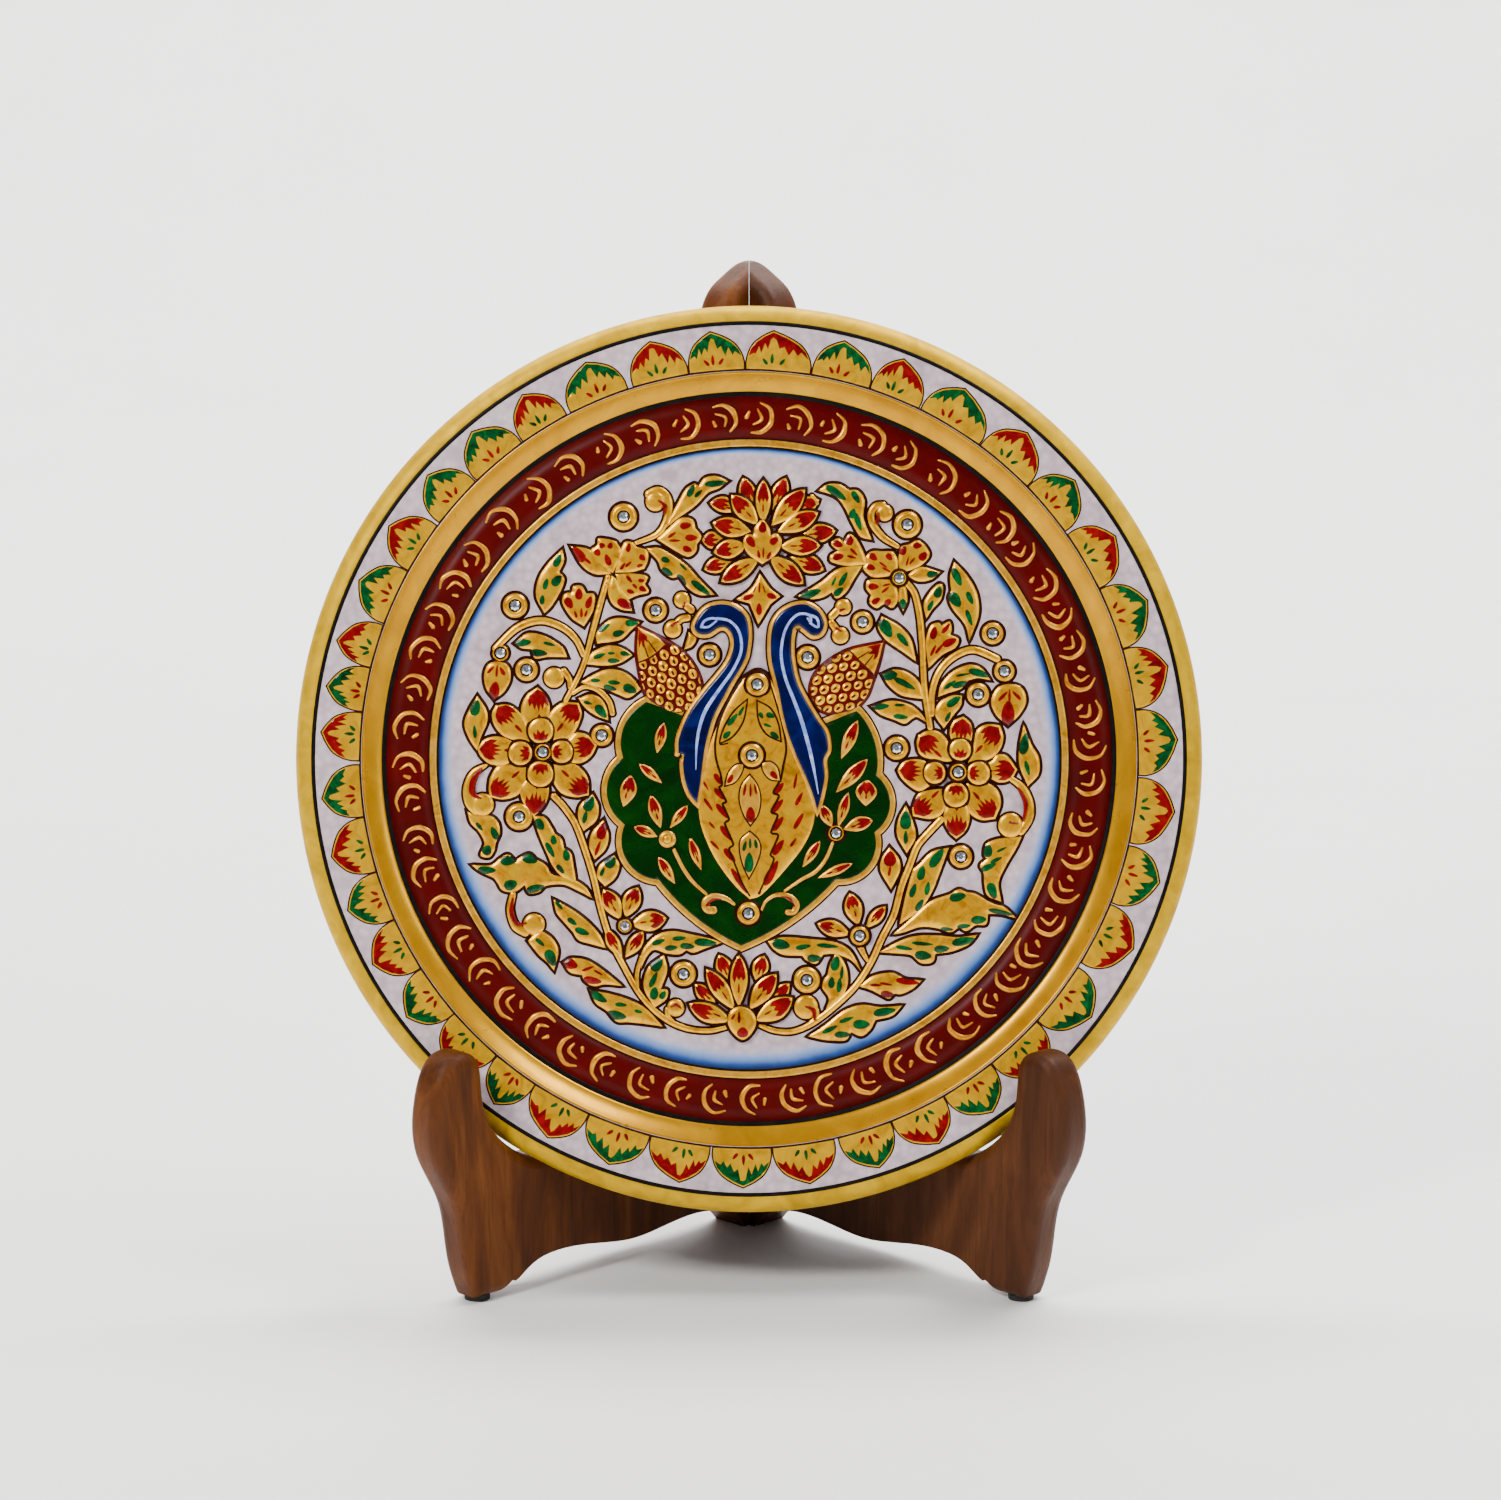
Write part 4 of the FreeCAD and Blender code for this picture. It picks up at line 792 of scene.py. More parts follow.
     [(-25.8, -57.7, 3.8, 2.4, 50), (-26.8, -61.9, 4.2, 1.3, 65), (-26.6, -65.7, 3.2, 1.9, 80),
      (-24.2, -66.2, 2.2, 1.4, 60)]),
    ("green", [(-30.4, -58.8, 1), (-30.0, -54.0), (-26.2, -49.6), (-21.7, -48.3), (-15.8, -49.3),
               (-11.0, -50.4), (-7.7, -51.5, 1), (-12.0, -53.0), (-15.6, -54.3), (-17.6, -53.6, 1),
               (-19.6, -54.8), (-23.2, -54.5), (-26.5, -53.5), (-28.6, -55.2)],
     [(-12.2, -51.5, 5.6, 1.8, -5), (-17.3, -52.5, 3.6, 1.5, -5), (-21.8, -53.0, 3.2, 1.3, 5),
      (-25.4, -51.3, 3.4, 1.2, 20), (-19.6, -50.3, 3.4, 1.1, 5)]),
    ("green", [(-46.4, -20.2, 1), (-47.9, -16.6), (-47.4, -13.0), (-43.8, -9.9, 1), (-42.2, -13.4),
               (-42.9, -17.2)],
     [(-44.8, -12.6, 4.0, 2.4, 65), (-46.0, -16.3, 3.2, 1.1, 75)]),
    ("green", [(-40.4, -35.7, 1), (-42.6, -33.0), (-41.8, -29.8), (-37.8, -27.0, 1), (-36.4, -29.8),
               (-37.6, -33.4)],
     [(-38.9, -28.9, 3.2, 2.6, 40), (-41.1, -31.6, 2.4, 0.9, 70)]),
    ("red", [(-43.3, -28.2, 1), (-44.8, -24.4), (-44.0, -20.6), (-40.8, -17.1, 1), (-39.4, -21.6),
             (-40.4, -25.4)],
     [(-41.2, -20.2, 4.4, 2.2, 75), (-42.4, -25.0, 4.0, 0.8, 70)]),
    ("red", [(-70.7, 27.3), (-67.6, 26.2), (-66.9, 22.6), (-68.6, 19.0), (-71.5, 16.7, 1), (-73.6, 19.6),
             (-74.3, 23.4), (-73.2, 26.4)],
     [(-71.4, 19.2, 4.4, 2.4, 80), (-70.7, 24.6, 3.0, 0.6, 85), (-69.2, 24.6, 2.4, 0.9, 120),
      (-72.4, 25.0, 2.4, 0.7, 45)]),
    ("green", [(-16.8, 35.5, 1), (-18.2, 30.7, 1), (-16.0, 31.6), (-14.8, 34.0)], []),
]
SPOTTED_RIGHT = [
    ("green", [(34.3, 61.5, 1), (31.2, 62.4), (28.8, 66.4), (26.9, 70.4), (25.0, 73.0), (22.4, 74.4),
               (19.5, 75.2, 1), (22.0, 77.0), (25.4, 77.0), (28.0, 75.4, 1), (30.6, 75.2), (32.4, 72.4),
               (32.0, 68.0), (33.0, 65.0)],
     [(24.4, 74.6, 6.0, 1.8, -35), (29.9, 73.4, 3.4, 1.4, -60), (29.0, 68.8, 2.6, 1.5, 70),
      (30.5, 66.6, 4.8, 1.3, -70)]),
    ("red", [(33.0, 54.6, 1), (27.2, 54.2), (22.9, 55.4), (22.8, 57.0), (25.0, 58.4, 1), (23.0, 60.4),
             (24.8, 61.8), (26.6, 60.8, 1), (28.2, 63.1), (30.4, 61.2), (32.2, 57.6)],
     [(24.9, 60.2, 2.6, 1.6, -20), (28.2, 61.2, 2.4, 1.8, 70), (25.0, 56.7, 2.8, 1.6, 10),
      (29.4, 58.0, 2.6, 0.7, -45), (28.8, 56.6, 2.4, 0.6, -15)]),
    ("green", [(31.8, 54.3, 1), (25.2, 53.4), (20.0, 49.5), (13.7, 45.6, 1), (17.6, 44.8), (20.8, 45.4),
               (23.2, 46.8, 1), (24.6, 45.0), (27.2, 46.8), (29.4, 50.4)],
     [(17.3, 46.3, 5.4, 1.9, 20), (26.4, 50.4, 4.0, 1.2, 60), (25.1, 46.9, 3.0, 1.5, 40),
      (23.8, 49.8, 2.6, 0.6, 65)]),
    ("red", [(41.6, 51.6, 1), (41.7, 55.4), (40.4, 58.0), (37.0, 58.2), (34.4, 58.2), (32.7, 56.6),
             (32.9, 54.9, 1), (32.0, 53.4), (34.8, 51.0)],
     [(34.8, 56.6, 2.4, 1.5, -40), (39.3, 56.6, 2.0, 1.3, -50), (34.2, 53.7, 2.2, 1.4, -20),
      (37.6, 54.4, 2.4, 0.6, -35), (38.6, 53.0, 2.4, 0.6, -30)]),
    ("red", [(42.4, 52.2, 1), (41.9, 55.6), (42.6, 59.4), (45.0, 60.2), (47.2, 61.3), (49.4, 59.8),
             (50.6, 57.2), (48.6, 54.6), (45.4, 53.0)],
     [(43.2, 58.4, 2.4, 1.6, 60), (47.2, 59.8, 2.2, 1.4, 0), (48.8, 56.8, 2.4, 1.8, 50),
      (44.4, 55.4, 2.4, 0.5, 75), (45.8, 55.6, 2.2, 0.5, 50)]),
    ("green", [(44.2, 51.4, 1), (48.0, 53.8), (53.6, 52.4, 1), (51.2, 50.4), (47.6, 49.8)],
     [(51.4, 51.8, 2.8, 1.6, 10)]),
    ("red", [(41.0, 50.2, 1), (33.6, 50.2), (32.8, 48.0), (34.2, 46.0, 1), (33.8, 43.8), (35.8, 42.3),
             (37.8, 43.4), (40.2, 42.4), (41.8, 45.0)],
     [(34.9, 48.3, 2.6, 1.5, 0), (35.6, 44.3, 2.4, 1.3, 35), (38.9, 43.9, 2.0, 1.4, 50),
      (38.2, 47.4, 2.4, 0.6, 40), (38.6, 48.8, 2.2, 0.5, 15)]),
    ("green", [(42.2, 49.0, 1), (41.9, 44.6), (43.2, 41.4, 1), (44.4, 44.6), (43.8, 48.4)],
     [(43.1, 43.4, 2.6, 2.0, 90)]),
    ("green", [(49.7, 39.4, 1), (49.0, 43.4), (50.6, 46.6), (53.2, 49.1), (54.4, 48.4), (53.8, 44.8),
               (51.4, 42.0)],
     [(53.0, 46.8, 3.0, 1.9, 70), (50.9, 43.0, 2.8, 1.1, 65)]),
    ("green", [(61.8, 33.2, 1), (60.6, 37.6), (57.2, 42.0), (56.0, 45.0), (56.7, 47.2, 1), (56.4, 51.4),
               (57.6, 55.2, 1), (61.0, 51.6), (63.8, 46.6), (64.4, 40.6)],
     [(58.3, 51.0, 4.8, 1.8, -65), (57.8, 44.6, 4.2, 2.4, -55), (61.9, 45.1, 3.4, 1.3, -65),
      (61.7, 39.6, 4.2, 1.1, -70)]),
    ("green", [(46.8, 27.4, 1), (43.2, 30.0), (38.4, 33.4), (36.2, 37.0), (37.3, 40.0, 1), (42.2, 37.2),
               (45.4, 33.5)],
     [(38.4, 36.6, 5.0, 2.6, -60), (43.1, 33.4, 4.2, 1.4, -50)]),
    ("red", [(50.3, 25.5, 1), (49.6, 33.0), (51.0, 37.4), (53.2, 38.2), (54.0, 37.4, 1), (56.2, 38.5),
             (56.8, 36.4), (56.4, 34.8, 1), (58.8, 33.6), (57.8, 31.2), (54.2, 29.2)],
     [(51.8, 35.3, 3.2, 1.6, 75), (55.2, 36.6, 3.2, 1.0, 50), (56.2, 32.7, 3.8, 1.7, 25),
      (51.6, 30.4, 3.0, 0.7, 65), (53.4, 31.0, 3.4, 0.7, 50)]),
    ("green", [(53.0, 17.4, 1), (53.8, 20.8), (57.0, 24.4), (61.6, 26.4), (65.2, 25.4), (67.7, 22.1, 1),
               (64.2, 22.7), (61.4, 22.0, 1), (59.4, 19.7), (55.8, 18.5)],
     [(64.6, 24.0, 5.6, 1.7, -15), (56.3, 20.8, 3.6, 1.0, 35), (59.2, 20.9, 4.2, 1.5, 15),
      (60.0, 23.6, 3.6, 0.6, 10)]),
    ("red", [(73.4, 21.0), (76.6, 19.8), (77.7, 16.2), (75.8, 12.4), (72.6, 9.4, 1), (69.4, 12.2),
             (67.9, 16.2), (69.8, 20.0)],
     [(72.6, 12.9, 6.0, 3.0, 88), (73.0, 17.8, 3.2, 0.6, 90), (71.2, 17.6, 3.4, 0.8, 45),
      (75.0, 17.8, 3.0, 0.8, 135)]),
    ("green", [(54.6, 8.6, 1), (52.2, 12.4), (53.4, 15.8), (57.0, 17.8), (59.7, 17.7, 1), (59.4, 15.0),
               (57.2, 12.2)],
     [(57.4, 16.1, 4.2, 1.7, 35), (55.8, 11.8, 2.8, 1.0, 65)]),
    ("green", [(49.2, 16.8, 1), (45.8, 17.2), (42.4, 18.0), (39.2, 20.6), (37.3, 23.7, 1), (41.0, 25.1),
               (45.0, 23.9), (48.0, 21.0)],
     [(39.3, 23.6, 4.0, 2.6, 0), (43.6, 21.1, 6.0, 1.4, -28)]),
    ("green", [(49.9, 10.2, 1), (47.0, 11.8), (45.6, 11.2, 1), (43.6, 9.9), (41.0, 10.9), (37.0, 12.4),
               (34.3, 14.7, 1), (39.8, 16.3), (45.0, 15.2), (48.0, 13.0)],
     [(36.9, 14.7, 4.2, 1.5, 5), (42.3, 15.1, 2.8, 0.7, 0), (42.5, 11.8, 3.6, 1.2, -5)]),
    ("green", [(78.2, -7.6, 1), (75.9, -2.0), (75.8, 3.4), (77.0, 9.6, 1), (79.2, 4.0), (81.2, 0.4),
               (81.2, -4.2)],
     [(77.2, 4.2, 5.4, 2.1, 80), (78.0, -2.6, 3.8, 1.0, -75)]),
    ("green", [(76.4, -21.8, 1), (70.0, -22.4), (66.6, -23.8), (65.9, -27.0), (66.8, -28.0, 1),
               (64.8, -29.8), (65.8, -32.0), (66.0, -35.2), (67.0, -38.4), (70.7, -40.0, 1), (70.0, -34.6),
               (72.2, -29.6), (74.8, -25.2)],
     [(66.9, -25.8, 3.2, 2.2, 80), (67.1, -30.3, 4.2, 1.4, 25), (69.3, -28.3, 3.2, 0.9, 25),
      (68.2, -37.0, 4.2, 2.1, -70), (70.8, -25.4, 2.8, 0.6, 25)]),
    ("green", [(44.2, -26.4, 1), (41.6, -21.6), (41.8, -17.2), (44.0, -13.0, 1), (46.0, -17.8),
               (46.7, -22.0)],
     [(43.9, -17.2, 4.6, 2.6, 88), (43.9, -22.0, 3.4, 1.0, 90)]),
    ("red", [(39.8, -36.5, 1), (36.9, -31.4), (37.2, -28.0), (39.4, -24.8, 1), (42.0, -28.0), (42.3, -31.4)],
     [(39.5, -28.0, 3.8, 2.8, 88), (39.4, -31.4, 2.6, 0.7, 80)]),
    ("green", [(42.2, -46.4, 1), (43.8, -38.8), (44.9, -34.6), (46.0, -31.0, 1), (47.8, -29.4), (51.4, -26.0),
               (56.0, -24.9, 1), (53.6, -31.4), (51.3, -37.2), (48.0, -42.2)],
     [(52.6, -27.8, 5.6, 2.1, 55), (48.3, -32.0, 3.6, 1.8, 75), (46.0, -36.9, 3.6, 1.4, 70),
      (50.0, -36.3, 3.4, 1.2, 80), (47.8, -41.0, 3.4, 1.4, 60)]),
    ("green", [(40.4, -49.2, 1), (45.5, -44.7), (50.8, -40.0), (56.4, -37.9), (58.8, -36.6),
               (61.0, -37.4, 1), (63.4, -37.8), (68.0, -40.4), (71.8, -41.7), (74.8, -44.6, 1),
               (70.6, -43.6), (67.0, -43.4, 1), (66.4, -46.4), (63.6, -46.6), (61.0, -48.2),
               (58.8, -47.2, 1), (56.4, -48.6), (53.0, -47.5), (48.1, -47.1), (43.4, -48.6)],
     [(58.5, -38.7, 4.2, 2.0, 10), (70.6, -43.0, 6.4, 1.2, -12), (64.4, -45.1, 3.8, 1.9, 5),
      (60.2, -46.9, 3.4, 1.1, 5), (55.5, -47.7, 3.2, 0.9, -5)]),
    ("green", [(36.6, -54.2, 1), (41.7, -51.3), (46.5, -49.7), (52.4, -49.5), (58.8, -50.0), (64.0, -49.3, 1),
               (61.6, -52.0), (56.8, -54.0), (52.2, -54.6, 1), (51.4, -57.0), (48.2, -57.2), (45.4, -55.0),
               (40.0, -54.4)],
     [(60.2, -51.1, 6.0, 1.9, 10), (54.0, -53.3, 3.8, 1.7, 5), (48.8, -55.1, 4.2, 2.1, -5),
      (43.5, -53.0, 4.2, 1.0, -10), (48.6, -51.8, 5.4, 0.9, -5)]),
    ("green", [(31.5, -59.6, 1), (28.6, -56.4), (24.0, -54.7), (20.8, -54.8, 1), (18.8, -57.4),
               (16.0, -56.4), (15.0, -55.2, 1), (9.6, -54.9), (7.0, -53.4), (5.3, -51.2, 1), (9.6, -50.0),
               (16.0, -50.4), (24.0, -51.4), (28.4, -53.8)],
     [(9.0, -52.0, 4.4, 2.4, -10), (15.2, -52.7, 3.8, 1.2, 10), (22.0, -52.4, 5.4, 1.0, -5),
      (18.3, -55.9, 3.6, 1.8, 0)]),
    ("green", [(21.4, -70.6, 1), (25.8, -67.3), (27.6, -63.2), (27.4, -59.0), (25.8, -55.7),
               (24.2, -54.8, 1), (22.8, -57.4), (22.0, -60.6, 1), (20.9, -62.2), (20.6, -64.2),
               (22.4, -67.2)],
     [(24.2, -57.3, 3.8, 2.0, 75), (23.1, -62.7, 2.8, 1.5, 85), (25.3, -63.4, 3.6, 1.2, 85),
      (26.0, -59.9, 3.2, 0.8, 85)]),
    ("red", [(31.0, -63.8, 1), (34.7, -60.9), (40.1, -60.0), (43.9, -61.7), (48.4, -62.1, 1), (45.9, -64.4),
             (42.7, -65.9), (40.8, -65.8, 1), (39.2, -67.2), (36.8, -66.1), (34.2, -64.8)],
     [(44.4, -62.4, 5.8, 1.5, -8), (38.9, -66.0, 3.6, 1.5, -10), (35.6, -63.4, 3.0, 0.7, 0),
      (38.4, -63.1, 3.4, 0.6, -10)]),
    ("green", [(16.6, -77.8, 1), (21.4, -74.6), (26.6, -70.6), (31.5, -69.0), (37.0, -69.6),
               (42.9, -69.2, 1), (40.1, -72.0), (35.4, -73.2, 1), (33.9, -76.0), (31.5, -77.7),
               (28.6, -76.6, 1), (27.0, -78.9), (21.4, -78.8)],
     [(38.0, -70.9, 5.6, 1.9, 10), (27.3, -73.1, 3.8, 1.0, 20), (31.5, -74.4, 4.2, 2.1, 0),
      (22.7, -75.8, 4.2, 1.1, 25), (26.2, -77.3, 4.0, 1.5, 0)]),
]
# Small lens petals: base, tip, fullness, share painted red.
STONE_PETALS = [
    ((-36.0, -45.0), (-40.8, -36.7), 2.4, 2.6, 0.35), ((-34.6, -44.4), (-31.2, -36.0), 2.7, 2.3, 0.4),
    ((-33.2, -46.4), (-23.2, -44.7), 2.8, 2.8, 0.4), ((-34.6, -55.6), (-29.8, -48.4), 1.8, 2.0, 0.5),
    ((-35.6, -55.6), (-40.0, -47.8), 2.0, 1.6, 0.5), ((30.6, -46.6), (28.3, -37.7), 2.5, 2.3, 0.4),
    ((32.8, -47.4), (38.2, -41.4), 1.6, 1.7, 0.5), ((28.4, -49.2), (19.2, -46.3), 2.1, 2.3, 0.4),
]
FAN_SPRIGS = [
    ((-25.8, 1.6), (-23.9, 10.2), 1.6, 1.6), ((-24.4, -6.8), (-30.8, -1.4), 1.3, 1.3),
    ((-35.2, -13.4), (-33.2, -4.5), 2.0, 2.6), ((-24.8, -19.4), (-27.6, -10.2), 1.8, 1.8),
    ((-22.2, -19.4), (-17.2, -13.0), 1.4, 1.4), ((-25.7, -21.8), (-32.3, -19.0), 1.5, 1.5),
    ((-13.4, -31.2), (-16.6, -22.2), 1.4, 1.4), ((-20.8, -35.0), (-25.4, -27.5), 1.5, 1.5),
    ((25.8, 0.0), (30.4, 10.8), 1.8, 1.8), ((24.4, -9.4), (33.2, -0.1), 2.0, 2.0),
    ((32.7, -13.2), (33.0, -5.9), 3.0, 3.0), ((23.2, -19.1), (20.3, -13.0), 1.7, 1.7),
    ((25.0, -19.0), (27.8, -9.4), 1.5, 1.5), ((26.4, -19.8), (34.7, -17.2), 2.2, 1.8),
    ((15.0, -30.4), (19.9, -23.0), 1.4, 1.4), ((19.2, -33.4), (29.0, -29.3), 1.3, 1.3),
]
STEMS_LEFT = [
    ([(-39.6, 51.0), (-41.6, 44.0), (-43.8, 36.0), (-46.6, 26.0), (-51.4, 16.4)], [1.5, 1.5, 1.3, 1.3]),
    ([(-46.4, 29.2), (-48.6, 33.6), (-52.6, 37.0), (-58.6, 38.8), (-65.0, 36.8), (-71.2, 31.0)],
     [1.4, 1.8, 2.0, 1.6]),
    ([(-49.4, 18.4), (-46.2, 20.2), (-42.6, 19.4), (-39.4, 16.4), (-38.3, 12.8)], [0.9, 1.2, 1.4, 1.4]),
    ([(-54.8, -10.4), (-51.8, -13.6), (-48.6, -18.4), (-45.8, -26.0), (-43.6, -33.2), (-41.5, -42.2),
      (-38.8, -50.8), (-35.1, -58.2), (-30.8, -65.7), (-26.2, -70.8), (-21.6, -74.0), (-16.6, -75.8),
      (-10.8, -76.2), (-6.4, -75.2)],
     [1.6, 1.6, 1.6, 1.5, 1.4, 1.5, 1.2]),
    ([(-31.4, -65.0), (-31.4, -60.0), (-30.2, -55.6)], [1.2, 1.0]),
    ([(-31.6, 60.6), (-26.0, 62.9), (-23.4, 66.4), (-22.5, 70.6), (-23.2, 73.6), (-25.6, 75.2),
      (-28.0, 74.2)], [1.0, 1.6, 2.2, 2.4]),
    ([(-73.8, -1.8), (-77.0, -3.8), (-78.7, -8.0), (-78.2, -12.4), (-76.4, -14.4)], [0.8, 2.4, 3.0, 2.6]),
    ([(-66.2, -38.0), (-67.0, -42.2), (-65.6, -46.8), (-62.8, -48.6)], [1.6, 2.0, 2.4]),
    ([(-22.9, -70.2), (-22.8, -72.0), (-21.4, -73.6)], [1.4, 1.0]),
    ([(-16.2, 41.8), (-17.6, 43.0), (-18.6, 44.2)], [2.0, 1.8]),
    ([(-17.2, 39.6), (-19.2, 39.2), (-20.6, 37.6)], [1.8, 1.8]),
    ([(-52.0, 24.6), (-50.4, 22.4), (-50.2, 20.2)], [1.8, 1.2]),
]
STEMS_RIGHT = [
    ([(44.2, 49.4), (46.4, 46.4), (47.8, 40.4), (48.6, 32.0), (49.2, 20.0), (50.8, 8.8)],
     [1.6, 1.7, 1.6, 1.5]),
    ([(51.2, 12.6), (51.4, 19.0), (53.4, 24.6), (57.6, 28.8), (63.0, 30.6), (69.6, 28.0)],
     [1.6, 1.7, 1.9, 1.8]),
    ([(53.8, -17.0), (50.4, -20.6), (47.2, -24.4), (45.0, -30.0), (42.8, -35.6), (40.6, -43.7),
      (37.4, -50.0), (34.2, -57.0), (30.0, -63.5), (24.0, -69.4), (17.6, -74.2), (12.3, -76.4),
      (7.0, -76.2), (3.0, -74.6)],
      [1.8, 1.7, 1.6, 1.6, 1.6, 1.2]),
    ([(41.6, 59.6), (37.8, 62.0), (35.0, 65.4), (34.2, 68.4), (35.4, 70.8), (37.6, 71.2)],
     [1.2, 1.8, 2.0, 1.8]),
    ([(73.2, -5.4), (76.6, -8.0), (78.6, -12.4), (78.4, -16.8), (76.2, -20.4)], [1.2, 2.2, 2.4, 2.0]),
    ([(23.2, 40.0), (24.2, 41.0), (25.4, 42.4)], [2.0, 2.0]), ([(23.0, 38.2), (24.0, 37.0), (24.8, 35.6)],
                                                               [1.8, 2.0]),
    ([(19.0, 71.8), (18.6, 72.6), (17.6, 73.8)], [1.2, 0.9]), ([(31.2, -52.6), (32.0, -54.4),
                                                                (33.2, -56.6)], [1.8, 0.8]),
    ([(18.8, -70.4), (18.9, -72.4), (17.2, -74.0)], [1.6, 1.0]),
]
BALLS_LEFT = [(-26.3, 72.2, 2.7), (-54.7, 22.8, 2.8), (-74.7, -12.8, 3.1), (-60.3, -46.4, 3.0),
              (-20.6, -69.8, 2.4), (-18.8, 44.6, 2.2), (-21.4, 36.4, 2.4)]
BALLS_RIGHT = [(38.0, 69.0, 2.3), (73.3, -18.6, 3.4), (16.0, -69.6, 3.3), (26.4, 42.6, 2.2),
               (25.6, 34.6, 2.3)]
CRESCENTS = [
    ([(-24.0, 68.6), (-23.6, 71.0), (-25.4, 72.4)], [0.5, 1.2, 0.5]),
    ([(-75.0, -2.8), (-77.3, -6.0), (-77.6, -9.6), (-75.2, -11.0)], [0.6, 1.6, 1.6, 0.6]),
    ([(-66.2, -39.2), (-66.6, -43.0), (-65.0, -46.2), (-62.4, -46.0)], [0.6, 1.3, 1.2, 0.4]),
    ([(36.0, 66.4), (36.2, 69.0)], [1.2, 0.5]), ([(75.4, -8.2), (77.6, -12.4), (76.8, -17.2)],
                                                 [0.5, 1.3, 0.5]),
    ([(15.8, -69.4), (18.0, -70.4), (18.3, -73.0)], [0.4, 1.4, 0.6]),
    ([(-21.8, -69.4), (-20.4, -68.9), (-19.2, -69.8)], [0.5, 1.0, 0.4]),
    ([(-18.4, 42.8), (-18.0, 43.9)], [0.8, 0.4]), ([(-21.6, 37.4), (-20.0, 38.6)], [0.9, 0.4]),
    ([(25.6, 41.6), (26.8, 42.0)], [0.9, 0.4]), ([(24.6, 36.6), (25.8, 35.8)], [0.9, 0.4]),
    ([(73.2, -17.8), (75.4, -18.2)], [0.8, 0.3]),
]
FRUIT_LEFT = [(-31.0, 36.9, 1), (-31.4, 31.0), (-30.6, 24.6), (-29.0, 18.4), (-25.6, 15.0), (-21.0, 13.2),
              (-16.4, 14.2), (-14.0, 17.6), (-13.6, 21.4), (-15.6, 26.2), (-19.2, 30.4), (-24.0, 33.4)]
FRUIT_RIGHT = [(37.5, 32.5, 1), (31.7, 31.4), (27.4, 30.2), (22.8, 27.6), (19.0, 24.2), (17.4, 20.2),
               (18.2, 15.9), (21.0, 13.4), (25.0, 13.0), (29.4, 14.2), (32.8, 17.5), (34.6, 22.0),
               (36.2, 26.8)]
NECK_LEFT = [(-15.3, 37.2), (-13.4, 40.8), (-10.8, 42.8), (-7.0, 43.3), (-3.4, 42.2), (-0.8, 39.4),
             (-0.1, 35.0), (-0.7, 29.6), (-2.0, 26.2), (-5.2, 21.0), (-7.4, 16.8), (-9.8, 12.2),
             (-11.3, 7.6), (-12.4, 3.0), (-13.1, -2.0), (-13.7, -7.0), (-14.6, -12.3, 1), (-16.6, -9.8),
             (-18.0, -5.8), (-18.5, -1.4), (-18.2, 1.2, 1), (-19.8, 1.6, 1), (-19.7, 5.4), (-18.0, 10.2),
             (-15.9, 14.2), (-11.8, 19.6), (-8.6, 23.4), (-5.8, 27.2), (-4.4, 31.2), (-4.6, 34.4),
             (-6.2, 36.6), (-8.4, 36.8), (-11.4, 35.0), (-14.2, 35.2)]
NECK_RIGHT = [(21.0, 38.0), (19.4, 41.3), (16.2, 43.2), (12.6, 43.0), (9.2, 41.2), (6.9, 38.0), (6.1, 33.4),
              (6.3, 27.6), (7.6, 22.0), (8.4, 18.6), (9.4, 13.2), (10.8, 7.6), (13.3, 0.8), (15.8, -4.8),
              (18.0, -10.4), (19.1, -14.4, 1), (20.2, -10.4), (21.2, -4.8), (20.9, -0.2), (22.1, 2.8),
              (21.5, 7.2), (19.2, 10.8), (16.4, 15.4), (13.4, 21.4), (12.0, 27.6), (11.8, 32.8), (12.4, 36.4),
              (13.8, 37.4), (15.6, 36.2), (17.8, 34.6), (20.0, 35.2)]
NECK_LINES = [
    ([(-9.0, 39.4), (-5.4, 38.6), (-2.8, 35.6), (-2.2, 30.4), (-4.6, 24.8), (-8.4, 19.4), (-12.0, 14.0),
      (-13.8, 9.2), (-14.7, 3.6), (-14.9, -3.0)], [0.7, 0.8, 0.8, 0.9, 1.0, 0.8, 0.2]),
    ([(-13.4, 37.0), (-12.6, 38.6), (-10.6, 39.4), (-8.8, 39.2)], [0.7, 0.7]),
    ([(-13.4, 37.0), (-11.4, 37.0), (-9.2, 38.6)], [0.7, 0.5]),
    ([(17.2, 38.0), (17.0, 40.2), (14.0, 40.6), (11.4, 38.4), (9.7, 34.8), (9.0, 29.0), (10.2, 22.6),
      (12.6, 16.4), (14.8, 10.4), (16.8, 3.2), (18.3, -3.6), (19.4, -9.8)],
      [0.7, 0.7, 0.8, 0.9, 1.1, 1.0, 0.2]),
    ([(16.8, 40.3), (19.0, 39.4), (19.4, 37.0), (17.8, 37.6), (16.4, 39.4)], [0.8, 0.6]),
]
BODY = [(2.2, 24.8), (-1.6, 22.4), (-5.6, 16.4), (-8.6, 10.0), (-11.2, 3.6), (-13.1, -3.6), (-14.1, -10.4),
        (-13.8, -17.2), (-11.5, -24.0), (-8.1, -30.2), (-3.6, -35.9), (0.2, -39.3, 1), (2.9, -38.5),
        (6.3, -35.3), (10.8, -30.2), (14.8, -25.1), (17.6, -19.5), (18.5, -13.8), (17.3, -8.1),
        (14.8, -1.4), (12.0, 4.8), (9.4, 12.0), (7.6, 19.0), (5.2, 23.4)]
